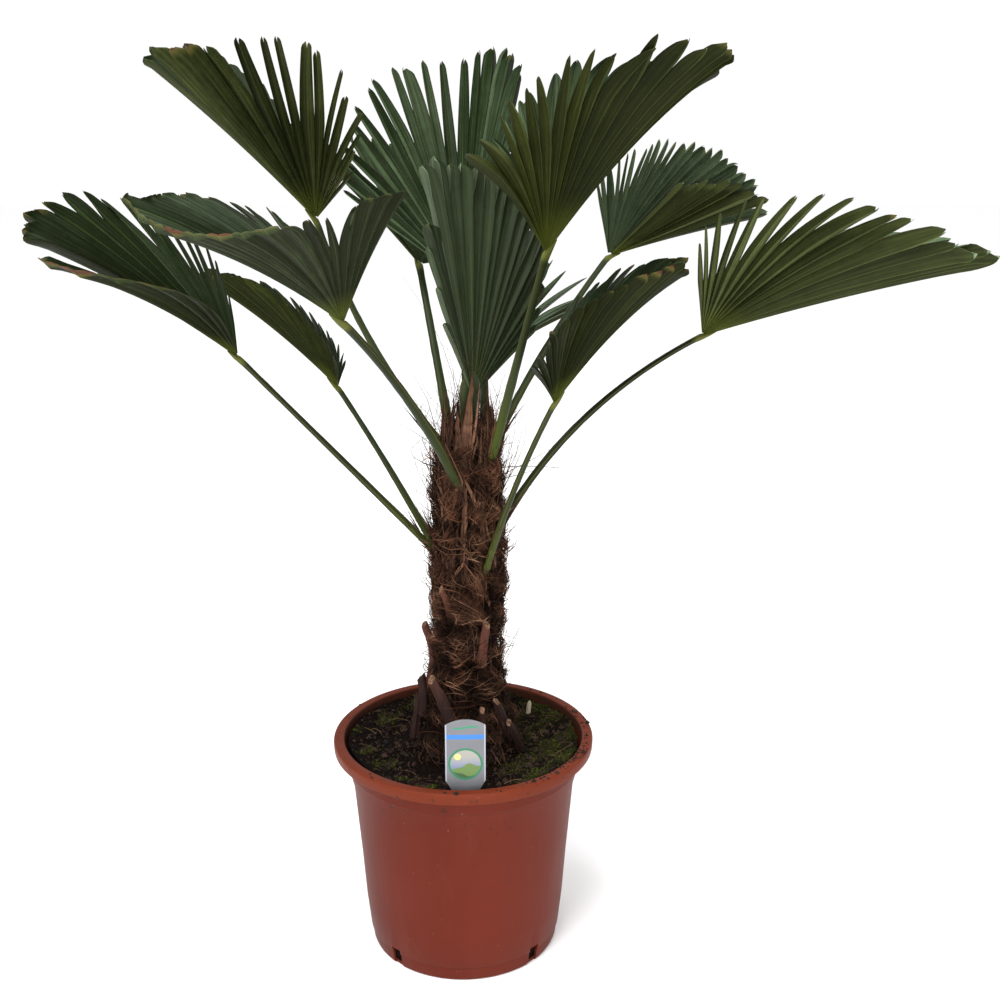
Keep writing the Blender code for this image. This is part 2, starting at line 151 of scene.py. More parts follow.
class Tree:
    """A node tree that nodes are added to by type, settings and sockets."""

    def __init__(self, tree):
        self.tree = tree

    def node(self, kind, settings, sockets, output=0):
        made = self.tree.nodes.new(kind)
        for name, value in settings.items():
            setattr(made, name, value)
        for key, value in sockets.items():
            self.put(find(made.inputs, key), value)
        return Value(self, made.outputs[output]) if made.outputs else made

    def put(self, socket, value):
        if isinstance(value, Value):
            self.tree.links.new(value.socket, socket)
        elif socket.type == "RGBA":
            socket.default_value = (*value, 1.0)
        else:
            socket.default_value = value

    def math(self, operation, *values):
        return self.node("ShaderNodeMath", {"operation": operation}, dict(enumerate(values)))


class Finish(Tree):
    """A material on one Principled shader."""

    def __init__(self, name, roughness, specular=0.5):
        self.material = bpy.data.materials.new(name)
        self.material.use_nodes = True
        super().__init__(self.material.node_tree)
        self.shader = self.tree.nodes["Principled BSDF"]
        self.shader.inputs["Roughness"].default_value = roughness
        self.shader.inputs["Specular IOR Level"].default_value = specular

    def attribute(self, name):
        return self.node("ShaderNodeAttribute", {"attribute_name": name}, {}).other("Fac")

    def place(self, stretch=(1.0, 1.0, 1.0)):
        """Object coordinates, stretched."""
        spot = self.node("ShaderNodeTexCoord", {}, {}).other("Object")
        return self.node("ShaderNodeMapping", {}, {"Vector": spot, "Scale": stretch})

    def axes(self):
        """The three object coordinates as values."""
        split = self.node("ShaderNodeSeparateXYZ", {}, {"Vector": self.place()})
        return split, split.other("Y"), split.other("Z")

    def noise(self, scale, stretch=(1.0, 1.0, 1.0), detail=3.0, rough=0.55):
        sockets = {"Vector": self.place(stretch), "Scale": scale, "Detail": detail, "Roughness": rough}
        return self.node("ShaderNodeTexNoise", {}, sockets)

    def mix(self, share, first, second):
        return self.node("ShaderNodeMix", {"data_type": "RGBA"}, {0: share, 6: first, 7: second}, 2)

    def finish(self, colour, rough=None, height=None, depth=0.001, strength=0.6):
        self.put(self.shader.inputs["Base Color"], colour)
        if rough is not None:
            self.put(self.shader.inputs["Roughness"], rough)
        if height is not None:
            sockets = {"Height": height, "Strength": strength, "Distance": depth}
            self.put(self.shader.inputs["Normal"], self.node("ShaderNodeBump", {}, sockets))
        return self.material


# Finishes
def blade_finish():
    """Dark green pleated blade: greyish inside, olive outside, yellow and brown at the tips; painted shade on the
    pleats and between the leaflets, and some painted sheen.
    """
    s = Finish("leaf_blade", 0.5, 0.06)
    outside = s.attribute("outside")
    across = s.attribute("across")
    along = s.attribute("along")
    tone = s.attribute("tone")
    burn = s.attribute("burn")
    cloud = s.noise(14.0)
    streak = s.noise(90.0, detail=3.0)
    run = s.node("ShaderNodeCombineXYZ", {}, {"X": across * 2.2, "Y": along * 0.9, "Z": tone * 23.0})
    stripe = s.node("ShaderNodeTexNoise", {}, {"Vector": run, "Scale": 4.0, "Detail": 3.0, "Roughness": 0.6})
    veins = (across * 15.0 + stripe * 4.0).sine()
    shade = (cloud * 0.6 + tone * 0.9 + streak * 0.25 + stripe * 1.0 + veins * 0.07 - 0.82).clamped()
    shade = shade * shade
    # Painted shade: the side of each pleat turned away from the light is painted darker, with dark inside and a
    # near-black olive outside.
    painted_pleat_shade = across.step(-0.10, 0.10)
    # The bright end turns grey-blue with the fan's grey share: partly a waxy tint, partly painted sheen.
    light = s.mix(s.attribute("grey_and_sheen"), (0.1220, 0.1760, 0.0930), (0.2000, 0.2650, 0.1700))
    inner = s.mix(shade, (0.0080, 0.0165, 0.0036), light)
    dark = s.mix(shade, (0.0040, 0.0066, 0.0010), (0.0170, 0.0250, 0.0085))
    inner = s.mix(painted_pleat_shade * s.attribute("painted_pleat_shade"), inner, dark)
    olive = s.mix(shade, (0.0068, 0.0096, 0.0003), (0.0720, 0.0830, 0.0150))
    # Outside, the grey share likewise blends a waxy tint with painted sheen.
    outer = s.mix(s.attribute("grey_and_sheen"), olive, s.mix(shade, (0.0088, 0.0122, 0.0048), (0.0760, 0.0980, 0.0560)))
    # Painted shade on the outside's pleats.
    outer = s.mix(painted_pleat_shade * 0.66, outer, (0.0048, 0.0064, 0.0004))
    green = s.mix(outside, inner, outer)
    edge = abs(across)
    rolled = along.step(0.945, 0.970) * s.attribute("curled")
    # Painted shade: leaflets darken towards their borders, in the gaps and valleys between them.
    painted_valley_shade = edge.step(0.66, 0.98) * (0.60 - along * 0.25) * (1.0 - rolled)
    green = s.mix(painted_valley_shade, green, (0.0035, 0.0050, 0.0010))
    green = s.mix(edge.step(0.93, 1.0) * stripe.step(0.56, 0.62) * 0.55, green, (0.055, 0.034, 0.012))
    midrib = (1.0 - edge).step(0.90, 0.99) * (0.30 - outside * 0.10)
    green = s.mix(midrib, green, (0.070, 0.088, 0.022))
    near_hub = (1.0 - along).step(0.76, 1.0) * (0.10 + outside * 0.42)
    green = s.mix(near_hub, green, (0.075, 0.090, 0.010))
    speck = s.noise(480.0, detail=1.0).step(0.74, 0.80)
    green = s.mix(speck * 0.30, green, (0.110, 0.100, 0.050))
    green = s.mix(rolled * (0.10 + streak * 0.60), green, (0.048, 0.063, 0.026))
    reach = along + streak * 0.040 + burn * 0.050
    green = s.mix(reach.step(1.022, 1.062) * (0.22 + burn * 0.36), green, (0.080, 0.070, 0.018))
    colour = s.mix(reach.step(1.058, 1.068), green, (0.062, 0.026, 0.014))
    return s.finish(colour, 0.40 + streak * 0.24, veins * 0.5 + streak, 0.0003, 0.5)


def stalk_finish():
    """Green leaf stalk: brighter at its foot, yellow along its edges and at the fan's joint."""
    s = Finish("leaf_stalk", 0.42, 0.10)
    along = s.attribute("along")
    edge = s.attribute("edge")
    tone = s.attribute("tone")
    streak = s.noise(55.0, (1.0, 1.0, 0.22), 4.0)
    green = s.mix((streak * 0.7 + tone * 0.7 - 0.25).clamped(), (0.0065, 0.0110, 0.0020), (0.028, 0.037, 0.0125))
    foot = (1.0 - along).step(0.50, 1.0) * tone
    green = s.mix(foot * 0.90, green, (0.046, 0.062, 0.004))
    green = s.mix(edge.step(0.955, 1.0) * 0.60, green, (0.090, 0.065, 0.014))
    joint = along.step(0.955, 0.995)
    colour = s.mix(joint * 0.60, green, (0.105, 0.110, 0.018))
    buried = (1.0 - along + streak * 0.04).step(0.995, 1.03)
    colour = s.mix(buried, colour, (0.030, 0.013, 0.006))
    speck = s.noise(420.0, detail=1.0).step(0.72, 0.78)
    colour = s.mix(speck * 0.35, colour, (0.10, 0.075, 0.04))
    return s.finish(colour, 0.36 + streak * 0.22, streak, 0.0006, 0.4)


def fibre_finish(name, dark, light):
    """Dry brown fibre; tone is each strand's own lightness, plus painted shade and light where the trunk's strands
    lie.
    """
    s = Finish(name, 0.85, 0.06)
    tone = s.attribute("tone")
    cloud = s.noise(38.0)
    grain = s.noise(260.0, (1.0, 1.0, 0.12), 3.0, 0.7)
    x, y, z = s.axes()
    shade = (tone * 0.80 + cloud * 0.45 + grain * 0.5 - 0.45).clamped()
    colour = s.mix(shade * shade, dark, light)
    # Darker towards the foot of the trunk, below about 0.32 to 0.385 m.
    darker_low = 1.0 - (z + cloud * 0.03).step(0.318, 0.385)
    colour = s.mix(darker_low * 0.78, colour, (0.0072, 0.0035, 0.0021))
    return s.finish(colour, 0.78 + cloud * 0.18, grain, 0.0004, 0.5)


def core_finish():
    """The matted cloth under the fibres, with painted shade that makes it almost black in its hollows."""
    s = Finish("trunk_matting", 0.95, 0.1)
    relief = s.attribute("relief")
    grain = s.noise(260.0, (1.0, 1.0, 0.35), 5.0, 0.7)
    cloud = s.noise(26.0)
    shade = (relief * 0.55 + grain * 0.45 + cloud * 0.3 - 0.35).clamped()
    colour = s.mix(shade, (0.0016, 0.0007, 0.0004), (0.030, 0.0115, 0.006))
    x, y, z = s.axes()
    # Darker towards the foot of the trunk, below about 0.32 to 0.385 m.
    darker_low = 1.0 - (z + cloud * 0.03).step(0.318, 0.385)
    colour = s.mix(darker_low * 0.86, colour, (0.0048, 0.0024, 0.0015))
    return s.finish(colour, 0.88 + cloud * 0.1, grain, 0.002, 1.0)


def stump_finish():
    """Red-brown dead stalk with a pale, fibrous cut end."""
    s = Finish("stalk_stump", 0.6, 0.15)
    cut = s.attribute("cut")
    tone = s.attribute("tone")
    grain = s.noise(150.0, (1.0, 1.0, 0.10), 5.0, 0.7)
    bark = s.mix((grain * 0.7 + tone * 0.6 - 0.35).clamped(), (0.006, 0.0022, 0.0018), (0.120, 0.038, 0.023))
    dots = s.noise(300.0, detail=4.0, rough=0.7)
    pale = s.mix(dots.step(0.35, 0.65), (0.045, 0.022, 0.014), (0.21, 0.12, 0.068))
    x, y, z = s.axes()
    bark = s.mix((1.0 - z.step(0.325, 0.350)) * 0.62, bark, (0.0060, 0.0020, 0.0014))
    colour = s.mix(cut, bark, pale)
    return s.finish(colour, 0.5 + grain * 0.3, grain, 0.0012, 0.8)


def pot_finish():
    """Terracotta-coloured plastic with faint clouds, dust in streaks and splashes of soil."""
    s = Finish("pot_plastic", 0.48, 0.07)
    x, y, z = s.axes()
    away = (x * x + y * y) ** 0.5
    cloud = s.noise(6.0, (1.0, 1.0, 0.5), 3.0)
    fine = s.noise(330.0, detail=2.0)
    streak = s.noise(34.0, (1.0, 1.0, 0.12), 5.0, 0.65)
    splash = s.noise(110.0, detail=4.0, rough=0.7)
    colour = s.mix(cloud.step(0.3, 0.7), (0.078, 0.0104, 0.0046), (0.096, 0.0140, 0.0066))
    colour = s.mix(streak.step(0.52, 0.80) * 0.20, colour, (0.130, 0.044, 0.033))
    # Painted shade: thin dark lines along the steps at the foot and under the collar.
    painted_step_shade = z.between(0.0180, 0.0188, 0.0006) + z.between(0.2392, 0.2402, 0.0008) * 0.7
    colour = s.mix(painted_step_shade * 0.45, colour, (0.035, 0.008, 0.005))
    high = 0.66 - z.step(0.10, 0.28) * 0.06
    dirt = (splash - high).step(0.0, 0.06)
    inside = 1.0 - away.step(RIM_INNER_RADIUS - 0.0008, RIM_INNER_RADIUS + 0.0022)
    lip = POT_HEIGHT - RIM_DEPTH
    # Painted light: the rim above the lip is painted brighter and more orange, as where light falls on it.
    colour = s.mix(z.step(lip - 0.0005, lip + 0.0010) * 0.55, colour, (0.125, 0.0235, 0.0080))
    # The rim's inner face above the lip is painted darker, in patches.
    darker_inner_rim = (inside * (0.45 + splash * 0.9)).clamped()
    colour = s.mix(darker_inner_rim * z.step(lip, lip + 0.001), colour, (0.022, 0.010, 0.006))
    colour = s.mix(dirt * 0.75, colour, (0.030, 0.013, 0.008))
    chalk = s.noise(190.0, detail=3.0).step(0.70, 0.76)
    colour = s.mix(chalk * 0.30, colour, (0.28, 0.17, 0.14))
    return s.finish(colour, 0.36 + streak * 0.22, fine, 0.0002, 0.35)


def soil_finish():
    """Dark peat with moss in patches; moss is the share of ground it covers."""
    s = Finish("peat", 0.95, 0.05)
    crumb = s.noise(260.0, detail=5.0, rough=0.7)
    moss = s.attribute("cover")
    earth = s.mix(crumb.step(0.40, 0.78), (0.0013, 0.0007, 0.0005), (0.015, 0.0066, 0.0040))
    green = s.mix(crumb.step(0.3, 0.7), (0.007, 0.008, 0.002), (0.030, 0.034, 0.006))
    return s.finish(s.mix((moss * 0.8).clamped(), earth, green), 0.95, crumb, 0.003, 1.0)


def moss_finish():
    s = Finish("moss", 0.8, 0.15)
    tone = s.attribute("tone")
    patch = s.noise(30.0)
    shade = (tone * 0.6 + patch * 0.9 - 0.35).clamped()
    return s.finish(s.mix(shade, (0.010, 0.011, 0.002), (0.085, 0.100, 0.010)), 0.75 + patch * 0.2)


def label_finish():
    """A pale card with a blue band, a green ring and a soft generic ground: no lettering."""
    s = Finish("label_card", 0.35, 0.3)
    x, y, z = s.axes()
    side = x - LABEL_ASIDE
    fibre = s.noise(40.0)
    colour = s.mix(fibre, (0.108, 0.111, 0.121), (0.140, 0.141, 0.152))
    spot_x, spot_z, ring_radius = 0.000, 0.302, 0.0175
    away = ((side - spot_x) ** 2.0 + (z - spot_z) ** 2.0) ** 0.5
    inside = 1.0 - away.step(ring_radius - 0.0004, ring_radius)
    sky = s.mix(z.step(0.285, 0.315), (0.060, 0.105, 0.260), (0.250, 0.245, 0.215))
    hill = (side * 150.0 + 0.7).sine() * 0.0035 + (side * 420.0).sine() * 0.0008
    sky = s.mix(1.0 - (z - hill).step(0.2985, 0.2990), sky, (0.090, 0.150, 0.040))
    sky = s.mix(1.0 - (z + hill * 0.8).step(0.2895, 0.2900), sky, (0.030, 0.075, 0.028))
    sun = ((side + 0.009) ** 2.0 + (z - 0.311) ** 2.0) ** 0.5
    sky = s.mix(1.0 - sun.step(0.0036, 0.0040), sky, (0.560, 0.440, 0.150))
    colour = s.mix(inside, colour, sky)
    ring = away.between(ring_radius, ring_radius + 0.0022, 0.0003)
    colour = s.mix(ring, colour, (0.020, 0.135, 0.065))
    wave = z - 0.3475 - (side * 190.0).sine() * 0.0012
    swash = wave.between(-0.0011, 0.0011, 0.0003) * side.between(-0.012, 0.013, 0.002)
    colour = s.mix(swash, colour, (0.030, 0.180, 0.100))
    colour = s.mix(z.between(0.3330, 0.3385, 0.0002), colour, (0.030, 0.140, 0.430))
    border = abs(side).step(0.0212, 0.0216)
    colour = s.mix(border, colour, (0.270, 0.285, 0.320))
    return s.finish(colour, 0.30 + fibre * 0.15, fibre, 0.0002, 0.2)


def bark_bit_finish(name, dark, light):
    s = Finish(name, 0.85, 0.2)
    tone = s.attribute("tone")
    grain = s.noise(200.0, detail=3.0)
    return s.finish(s.mix((tone * 0.8 + grain * 0.3).clamped(), dark, light), 0.8 + grain * 0.15, grain, 0.001, 0.6)


# Meshes
def new_mesh(name, points, faces, attributes, smooth=True):
    mesh = bpy.data.meshes.new(name)
    mesh.from_pydata(np.asarray(points).tolist(), [], [tuple(face) for face in faces])
    for key, values in attributes.items():
        layer = mesh.attributes.new(key, "FLOAT", "POINT")
        layer.data.foreach_set("value", np.asarray(values, dtype=np.float32).reshape(-1))
    mesh.validate()
    if smooth:
        mesh.shade_smooth()
        mesh.set_sharp_from_angle(angle=math.radians(55))
    return mesh


def put_piece(name, mesh, material, slot, *nodes):
    """An object for the mesh, riding on the plant and standing for the nodes."""
    piece = bpy.data.objects.new(name, mesh)
    bpy.context.scene.collection.objects.link(piece)
    if material is not None:
        piece.data.materials.clear()
        piece.data.materials.append(material)
    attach(piece, BODY)
    if nodes:
        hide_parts(*nodes)
    return piece


def mesh_piece(name, points, faces, attributes, material, slot, *nodes):
    return put_piece(name, new_mesh(name, points, faces, attributes), material, slot, *nodes)


def unit(vector):
    return vector / (np.linalg.norm(vector, axis=-1, keepdims=True) + 1e-12)


def tubes(paths, radii, sides, outward=None, flat=1.0):
    """Points and faces of many tapering tubes, from (tubes, points, 3) paths.

    flat squeezes them towards outward, a direction for each point of the paths.
    """
    count, length, _ = paths.shape
    tangent = unit(np.gradient(paths, axis=1))
    if outward is None:
        outward = np.broadcast_to(np.array([0.31, 0.52, 0.79]), paths.shape)
    wide = unit(np.cross(tangent, outward))
    thin = np.cross(wide, tangent) * flat
    turns = 2 * np.pi * np.arange(sides) / sides
    ring = np.cos(turns)[:, None] * wide[:, :, None] + np.sin(turns)[:, None] * thin[:, :, None]
    points = (paths[:, :, None] + radii[:, :, None, None] * ring).reshape(-1, 3)
    base = np.arange(count)[:, None, None] * length * sides
    row = np.arange(length - 1)[None, :, None] * sides
    side = np.arange(sides)[None, None, :]
    a = base + row + side
    b = base + row + (side + 1) % sides
    faces = np.stack([a, b, b + sides, a + sides], axis=-1).reshape(-1, 4).tolist()
    last = (length - 1) * sides
    for start in base[:, 0, 0].tolist():
        faces.append(tuple(range(start + sides - 1, start - 1, -1)))
        faces.append(tuple(range(start + last, start + last + sides)))
    return points, faces


def lumps(places, sizes):
    """Points and faces of small angular grains."""
    corners = np.array([[1, 0, 0], [0, 1, 0], [-1, 0, 0], [0, -1, 0], [0, 0, 0.8], [0, 0, -0.8]], float)
    sides = np.array([[0, 1, 4], [1, 2, 4], [2, 3, 4], [3, 0, 4], [1, 0, 5], [2, 1, 5], [3, 2, 5], [0, 3, 5]])
    count = len(places)
    shape = corners[None] * rng.uniform(0.45, 1.25, (count, 6, 1))
    turn = rng.uniform(0, 2 * np.pi, count)
    spin = np.zeros((count, 3, 3))
    spin[:, 0, 0] = spin[:, 1, 1] = np.cos(turn)
    spin[:, 0, 1], spin[:, 1, 0] = -np.sin(turn), np.sin(turn)
    spin[:, 2, 2] = 1.0
    points = np.einsum("nij,nkj->nki", spin, shape) * sizes[:, None, None] + places[:, None]
    faces = (np.arange(count)[:, None, None] * 6 + sides[None]).reshape(-1, 3)
    return points.reshape(-1, 3), faces.tolist()


def relief(rows, columns, row_size, column_size):
    """Smooth random heights, about -1 to 1, with lumps of the given sizes in samples."""
    down = np.fft.fftfreq(rows)[:, None] * row_size
    round_ = np.fft.fftfreq(columns)[None, :] * column_size
    soft = np.exp(-((down**2 + round_**2) * 5.0))
    made = np.fft.ifft2(np.fft.fft2(rng.normal(size=(rows, columns))) * soft).real
    return made / made.std() * 0.6


def scatter(name, ground, tuft, density, sizes, material, slot, seed):
    """Geometry Nodes: copies of a tuft on the ground's faces where its cover attribute is high."""
    nodes = Tree(bpy.data.node_groups.new(name, "GeometryNodeTree"))
    face = nodes.tree.interface
    kinds = {
        "Geometry": "NodeSocketGeometry",
        "Tuft": "NodeSocketObject",
        "Finish": "NodeSocketMaterial",
        "Per square metre": "NodeSocketFloat",
        "Smallest": "NodeSocketFloat",
        "Largest": "NodeSocketFloat",
        "Seed": "NodeSocketInt",
    }
    for label, kind in kinds.items():
        face.new_socket(label, in_out="INPUT", socket_type=kind)
    face.new_socket("Geometry", in_out="OUTPUT", socket_type="NodeSocketGeometry")
    given = nodes.node("NodeGroupInput", {}, {})
    cover = nodes.node("GeometryNodeInputNamedAttribute", {"data_type": "FLOAT"}, {"Name": "cover"})
    spots = nodes.node(
        "GeometryNodeDistributePointsOnFaces",
        {"distribute_method": "RANDOM"},
        {
            "Mesh": given.other("Geometry"),
            "Density": cover * given.other("Per square metre"),
            "Seed": given.other("Seed"),
        },
    )
    size = nodes.node(
        "FunctionNodeRandomValue",
        {"data_type": "FLOAT"},
        {"Min": given.other("Smallest"), "Max": given.other("Largest"), "Seed": given.other("Seed")},
    )
    size = size.other("Value")
    spin = nodes.node(
        "FunctionNodeRandomValue",
        {"data_type": "FLOAT_VECTOR"},
        {"Min": (-0.5, -0.5, 0.0), "Max": (0.5, 0.5, 2 * math.pi), "Seed": given.other("Seed")},
    )
    turn = nodes.node("FunctionNodeEulerToRotation", {}, {"Euler": spin.other("Value")})
    pose = nodes.node(
        "FunctionNodeRotateRotation",
        {"rotation_space": "LOCAL"},
        {"Rotation": spots.other("Rotation"), "Rotate By": turn},
    )
    shape = nodes.node("GeometryNodeObjectInfo", {}, {"Object": given.other("Tuft")}).other("Geometry")
    copies = nodes.node(
        "GeometryNodeInstanceOnPoints",
        {},
        {"Points": spots, "Instance": shape, "Rotation": pose, "Scale": size},
    )
    tone = nodes.node("FunctionNodeRandomValue", {"data_type": "FLOAT"}, {"Seed": 7}).other("Value")
    marked = nodes.node(
        "GeometryNodeStoreNamedAttribute",
        {"data_type": "FLOAT", "domain": "INSTANCE"},
        {"Geometry": copies, "Name": "tone", "Value": tone},
    )
    real = nodes.node("GeometryNodeRealizeInstances", {}, {"Geometry": marked})
    done = nodes.node("GeometryNodeSetMaterial", {}, {"Geometry": real, "Material": given.other("Finish")})
    nodes.node("NodeGroupOutput", {}, {"Geometry": done})
    maker = bpy.data.objects.new(name + "_ground", ground)
    bpy.context.scene.collection.objects.link(maker)
    work = maker.modifiers.new(name, "NODES")
    work.node_group = nodes.tree
    given_values = {
        "Tuft": tuft,
        "Finish": material,
        "Per square metre": density,
        "Smallest": sizes[0],
        "Largest": sizes[1],
        "Seed": seed,
    }
    for item in face.items_tree:
        if item.in_out == "INPUT" and item.name in given_values:
            work[item.identifier] = given_values[item.name]
    view = bpy.context.evaluated_depsgraph_get()
    mesh = bpy.data.meshes.new_from_object(maker.evaluated_get(view))
    maker.modifiers.remove(work)
    bpy.data.objects.remove(maker, do_unlink=True)
    bpy.data.objects.remove(tuft, do_unlink=True)
    return put_piece(name, mesh, None, slot)


# Trunk
def trunk_radius(height):
    return np.interp(height, TRUNK_HEIGHTS, TRUNK_RADII)


def trunk_axis(height):
    return TRUNK_AXIS + TRUNK_LEAN * (np.asarray(height) - TRUNK_FOOT)


def swell(angle, height):
    """The trunk's lumps and hollows, about -1 to 1."""
    wave = np.sin(3 * angle + 61 * height + 1.0) * np.sin(2 * angle - 83 * height + 0.5)
    wave = wave + 0.8 * np.sin(5 * angle - 118 * height) * np.sin(4 * angle + 131 * height + 2.0)
    return wave + 0.45 * np.sin(9 * angle + 210 * height + 0.7)


def round_trunk(angle, height, away):
    """Points at this distance off the trunk's surface; angles are in radians."""
    radius = trunk_radius(height) + away
    return np.stack([trunk_axis(height) + radius * np.cos(angle), radius * np.sin(angle), height], axis=-1)


def trunk_core(material):
    """The matted body of the trunk, with hollows and swellings."""
    sides, levels = 132, 190
    heights = np.linspace(TRUNK_FOOT, TRUNK_TOP, levels)[:, None] * np.ones((1, sides))
    turn = 2 * np.pi * np.arange(sides)[None, :] / sides * np.ones((levels, 1))
    big = swell(turn, heights)
    small = relief(levels, sides, 5, 3)
    away = -0.0062 + 0.0046 * big + 0.0012 * small
    points = round_trunk(turn, heights, away).reshape(-1, 3)
    faces = []
    for row in range(levels - 1):
        for side in range(sides):
            after = (side + 1) % sides
            low, high = row * sides, (row + 1) * sides
            faces.append((low + side, low + after, high + after, high + side))
    faces.append(tuple(range(sides - 1, -1, -1)))
    faces.append(tuple((levels - 1) * sides + side for side in range(sides)))
    # Painted shade: the matting's relief mark is darker in the hollows and lighter on the swellings.
    shade = np.clip(0.5 + 0.35 * big + 0.25 * small, 0, 1)
    cover = np.ones(points.shape[0])
    marks = {"relief": shade, "cover": cover}
    return mesh_piece("trunk_core", points, faces, marks, material, "trunk", "trunk")


def strands(name, count, groups, low, high, heading, scatter_angle, curl, length, thick, lift, flare, material):
    """Fibres in combed groups that wrap the trunk and fray; heading 0 is upright and 90 is level."""
    knots = 8
    share = np.linspace(0.0, 1.0, knots)[None, :]
    member = rng.integers(0, groups, count)
    hand = rng.choice([-1.0, 1.0], groups)
    group_way = hand * np.radians(rng.normal(heading, scatter_angle, groups))
    group_bend = np.radians(rng.normal(0.0, curl, groups))
    group_angle = rng.uniform(0, 2 * np.pi, groups)
    group_lift = rng.normal(0.0, 0.0012, groups)
    group_height = rng.uniform(low, high, groups)
    group_flare = rng.exponential(flare, groups)
    group_tone = rng.uniform(0.0, 1.0, groups)
    size = rng.uniform(*length, (count, 1))
    start = (group_way[member] + rng.normal(0, 0.15, count))[:, None]
    bend = (group_bend[member] + rng.normal(0, 0.20, count))[:, None]
    ripple = 0.16 * np.sin(rng.uniform(0, 6.28, (count, 1)) + share * rng.uniform(3, 11, (count, 1)))
    way = start + bend * (share - 0.5) + ripple
    run = size / (knots - 1)
    rise = np.cumsum(np.cos(way), axis=1) * run
    sweep = np.cumsum(np.sin(way), axis=1) * run
    height = (group_height[member] + rng.normal(0, 0.013, count))[:, None] + rise - rise.mean(axis=1, keepdims=True)
    height = np.clip(height, SOIL_LEVEL + 0.003, TRUNK_HEIGHTS[-1] + 0.01)
    around = (group_angle[member] + rng.normal(0, 0.26, count))[:, None]
    angle = around + (sweep - sweep.mean(axis=1, keepdims=True)) / np.maximum(trunk_radius(height), 0.02)
    layer = rng.uniform(-0.0030, 0.0012, (count, 1))
    arch = rng.exponential(lift, (count, 1)) * np.sin(np.pi * share) ** 2
    fray = (group_flare[member][:, None] * rng.uniform(0.2, 1.4, (count, 1))) * share**2.5
    bulge = swell(angle, height)
    away = layer + group_lift[member][:, None] + arch + fray + 0.0038 * bulge
    away = away + 0.0005 * rng.normal(size=(count, knots))
    paths = round_trunk(angle, height, away)
    radii = thick * rng.uniform(0.5, 1.6, (count, 1)) * (1.0 - 0.7 * np.abs(2 * share - 1) ** 3)
    points, faces = tubes(paths, radii, 3)
    tone = 0.55 * group_tone[member] + 0.30 * rng.uniform(0, 1, count)
    # Painted shade and light: strands are darker in the trunk's hollows and deeper layers, lighter on its swellings
    # and where they arch or fray out.
    tone = tone[:, None] + 0.32 * bulge + 75.0 * layer + 40.0 * (arch + fray)
    return mesh_piece(name, points, faces, {"tone": np.repeat(tone, 3)}, material, "trunk")


def loose_hairs(name, count, low, high, length, thick, rise, material):
    """Hairs that leave the trunk and hang in the air, rising by rise of their length."""
    knots = 7
    share = np.linspace(0.0, 1.0, knots)[None, :]
    height = rng.uniform(low, high, (count, 1))
    angle = rng.uniform(0, 2 * np.pi, (count, 1))
    size = np.minimum(rng.gamma(2.2, length / 2.2, (count, 1)), 1.7 * length)
    out = rng.uniform(0.1, 0.85, (count, 1))
    swing = rng.normal(0.0, 0.5, (count, 1))
    climb = rng.normal(rise, 0.45, (count, 1))
    curve = rng.normal(0.0, 0.35, (count, 1))
    away = size * out * share * (1 - 0.25 * share * curve) - 0.003
    high_now = height + size * (climb * share + curve * share**2 * 0.5)
    around = angle + swing * share**1.5 * size / 0.05
    paths = round_trunk(around, np.maximum(high_now, SOIL_LEVEL + 0.004), away)
    paths = paths + 0.0009 * np.cumsum(rng.normal(size=paths.shape), axis=1) * share[..., None]
    radii = thick * rng.uniform(0.6, 1.4, (count, 1)) * (1.0 - 0.8 * share)
    points, faces = tubes(paths, radii, 3)
    tone = np.repeat(rng.uniform(0, 0.7, count), knots * 3)
    return mesh_piece(name, points, faces, {"tone": tone}, material, "trunk")


def frayed(rows, parts):
    """Each strip torn lengthwise into narrower ones that spread at their tips."""
    torn = []
    for foot_azimuth, foot, tip_azimuth, tip, stand, width in rows:
        for part in np.linspace(-1.0, 1.0, parts):
            aside = part * math.degrees(width / 2 / 0.036) * 0.7
            turn = aside + rng.normal(0.0, 11.0)
            rise = tip - (tip - foot) * rng.uniform(0.1, 0.6) * abs(part) - rng.uniform(0.0, 0.012)
            loose = stand * rng.uniform(0.3, 2.0) + 0.001
            start = foot + rng.uniform(-0.010, 0.010)
            wide = width * rng.uniform(0.5, 1.1) / parts
            torn.append((foot_azimuth + aside, start, tip_azimuth + turn, rise, loose, wide))
    return torn


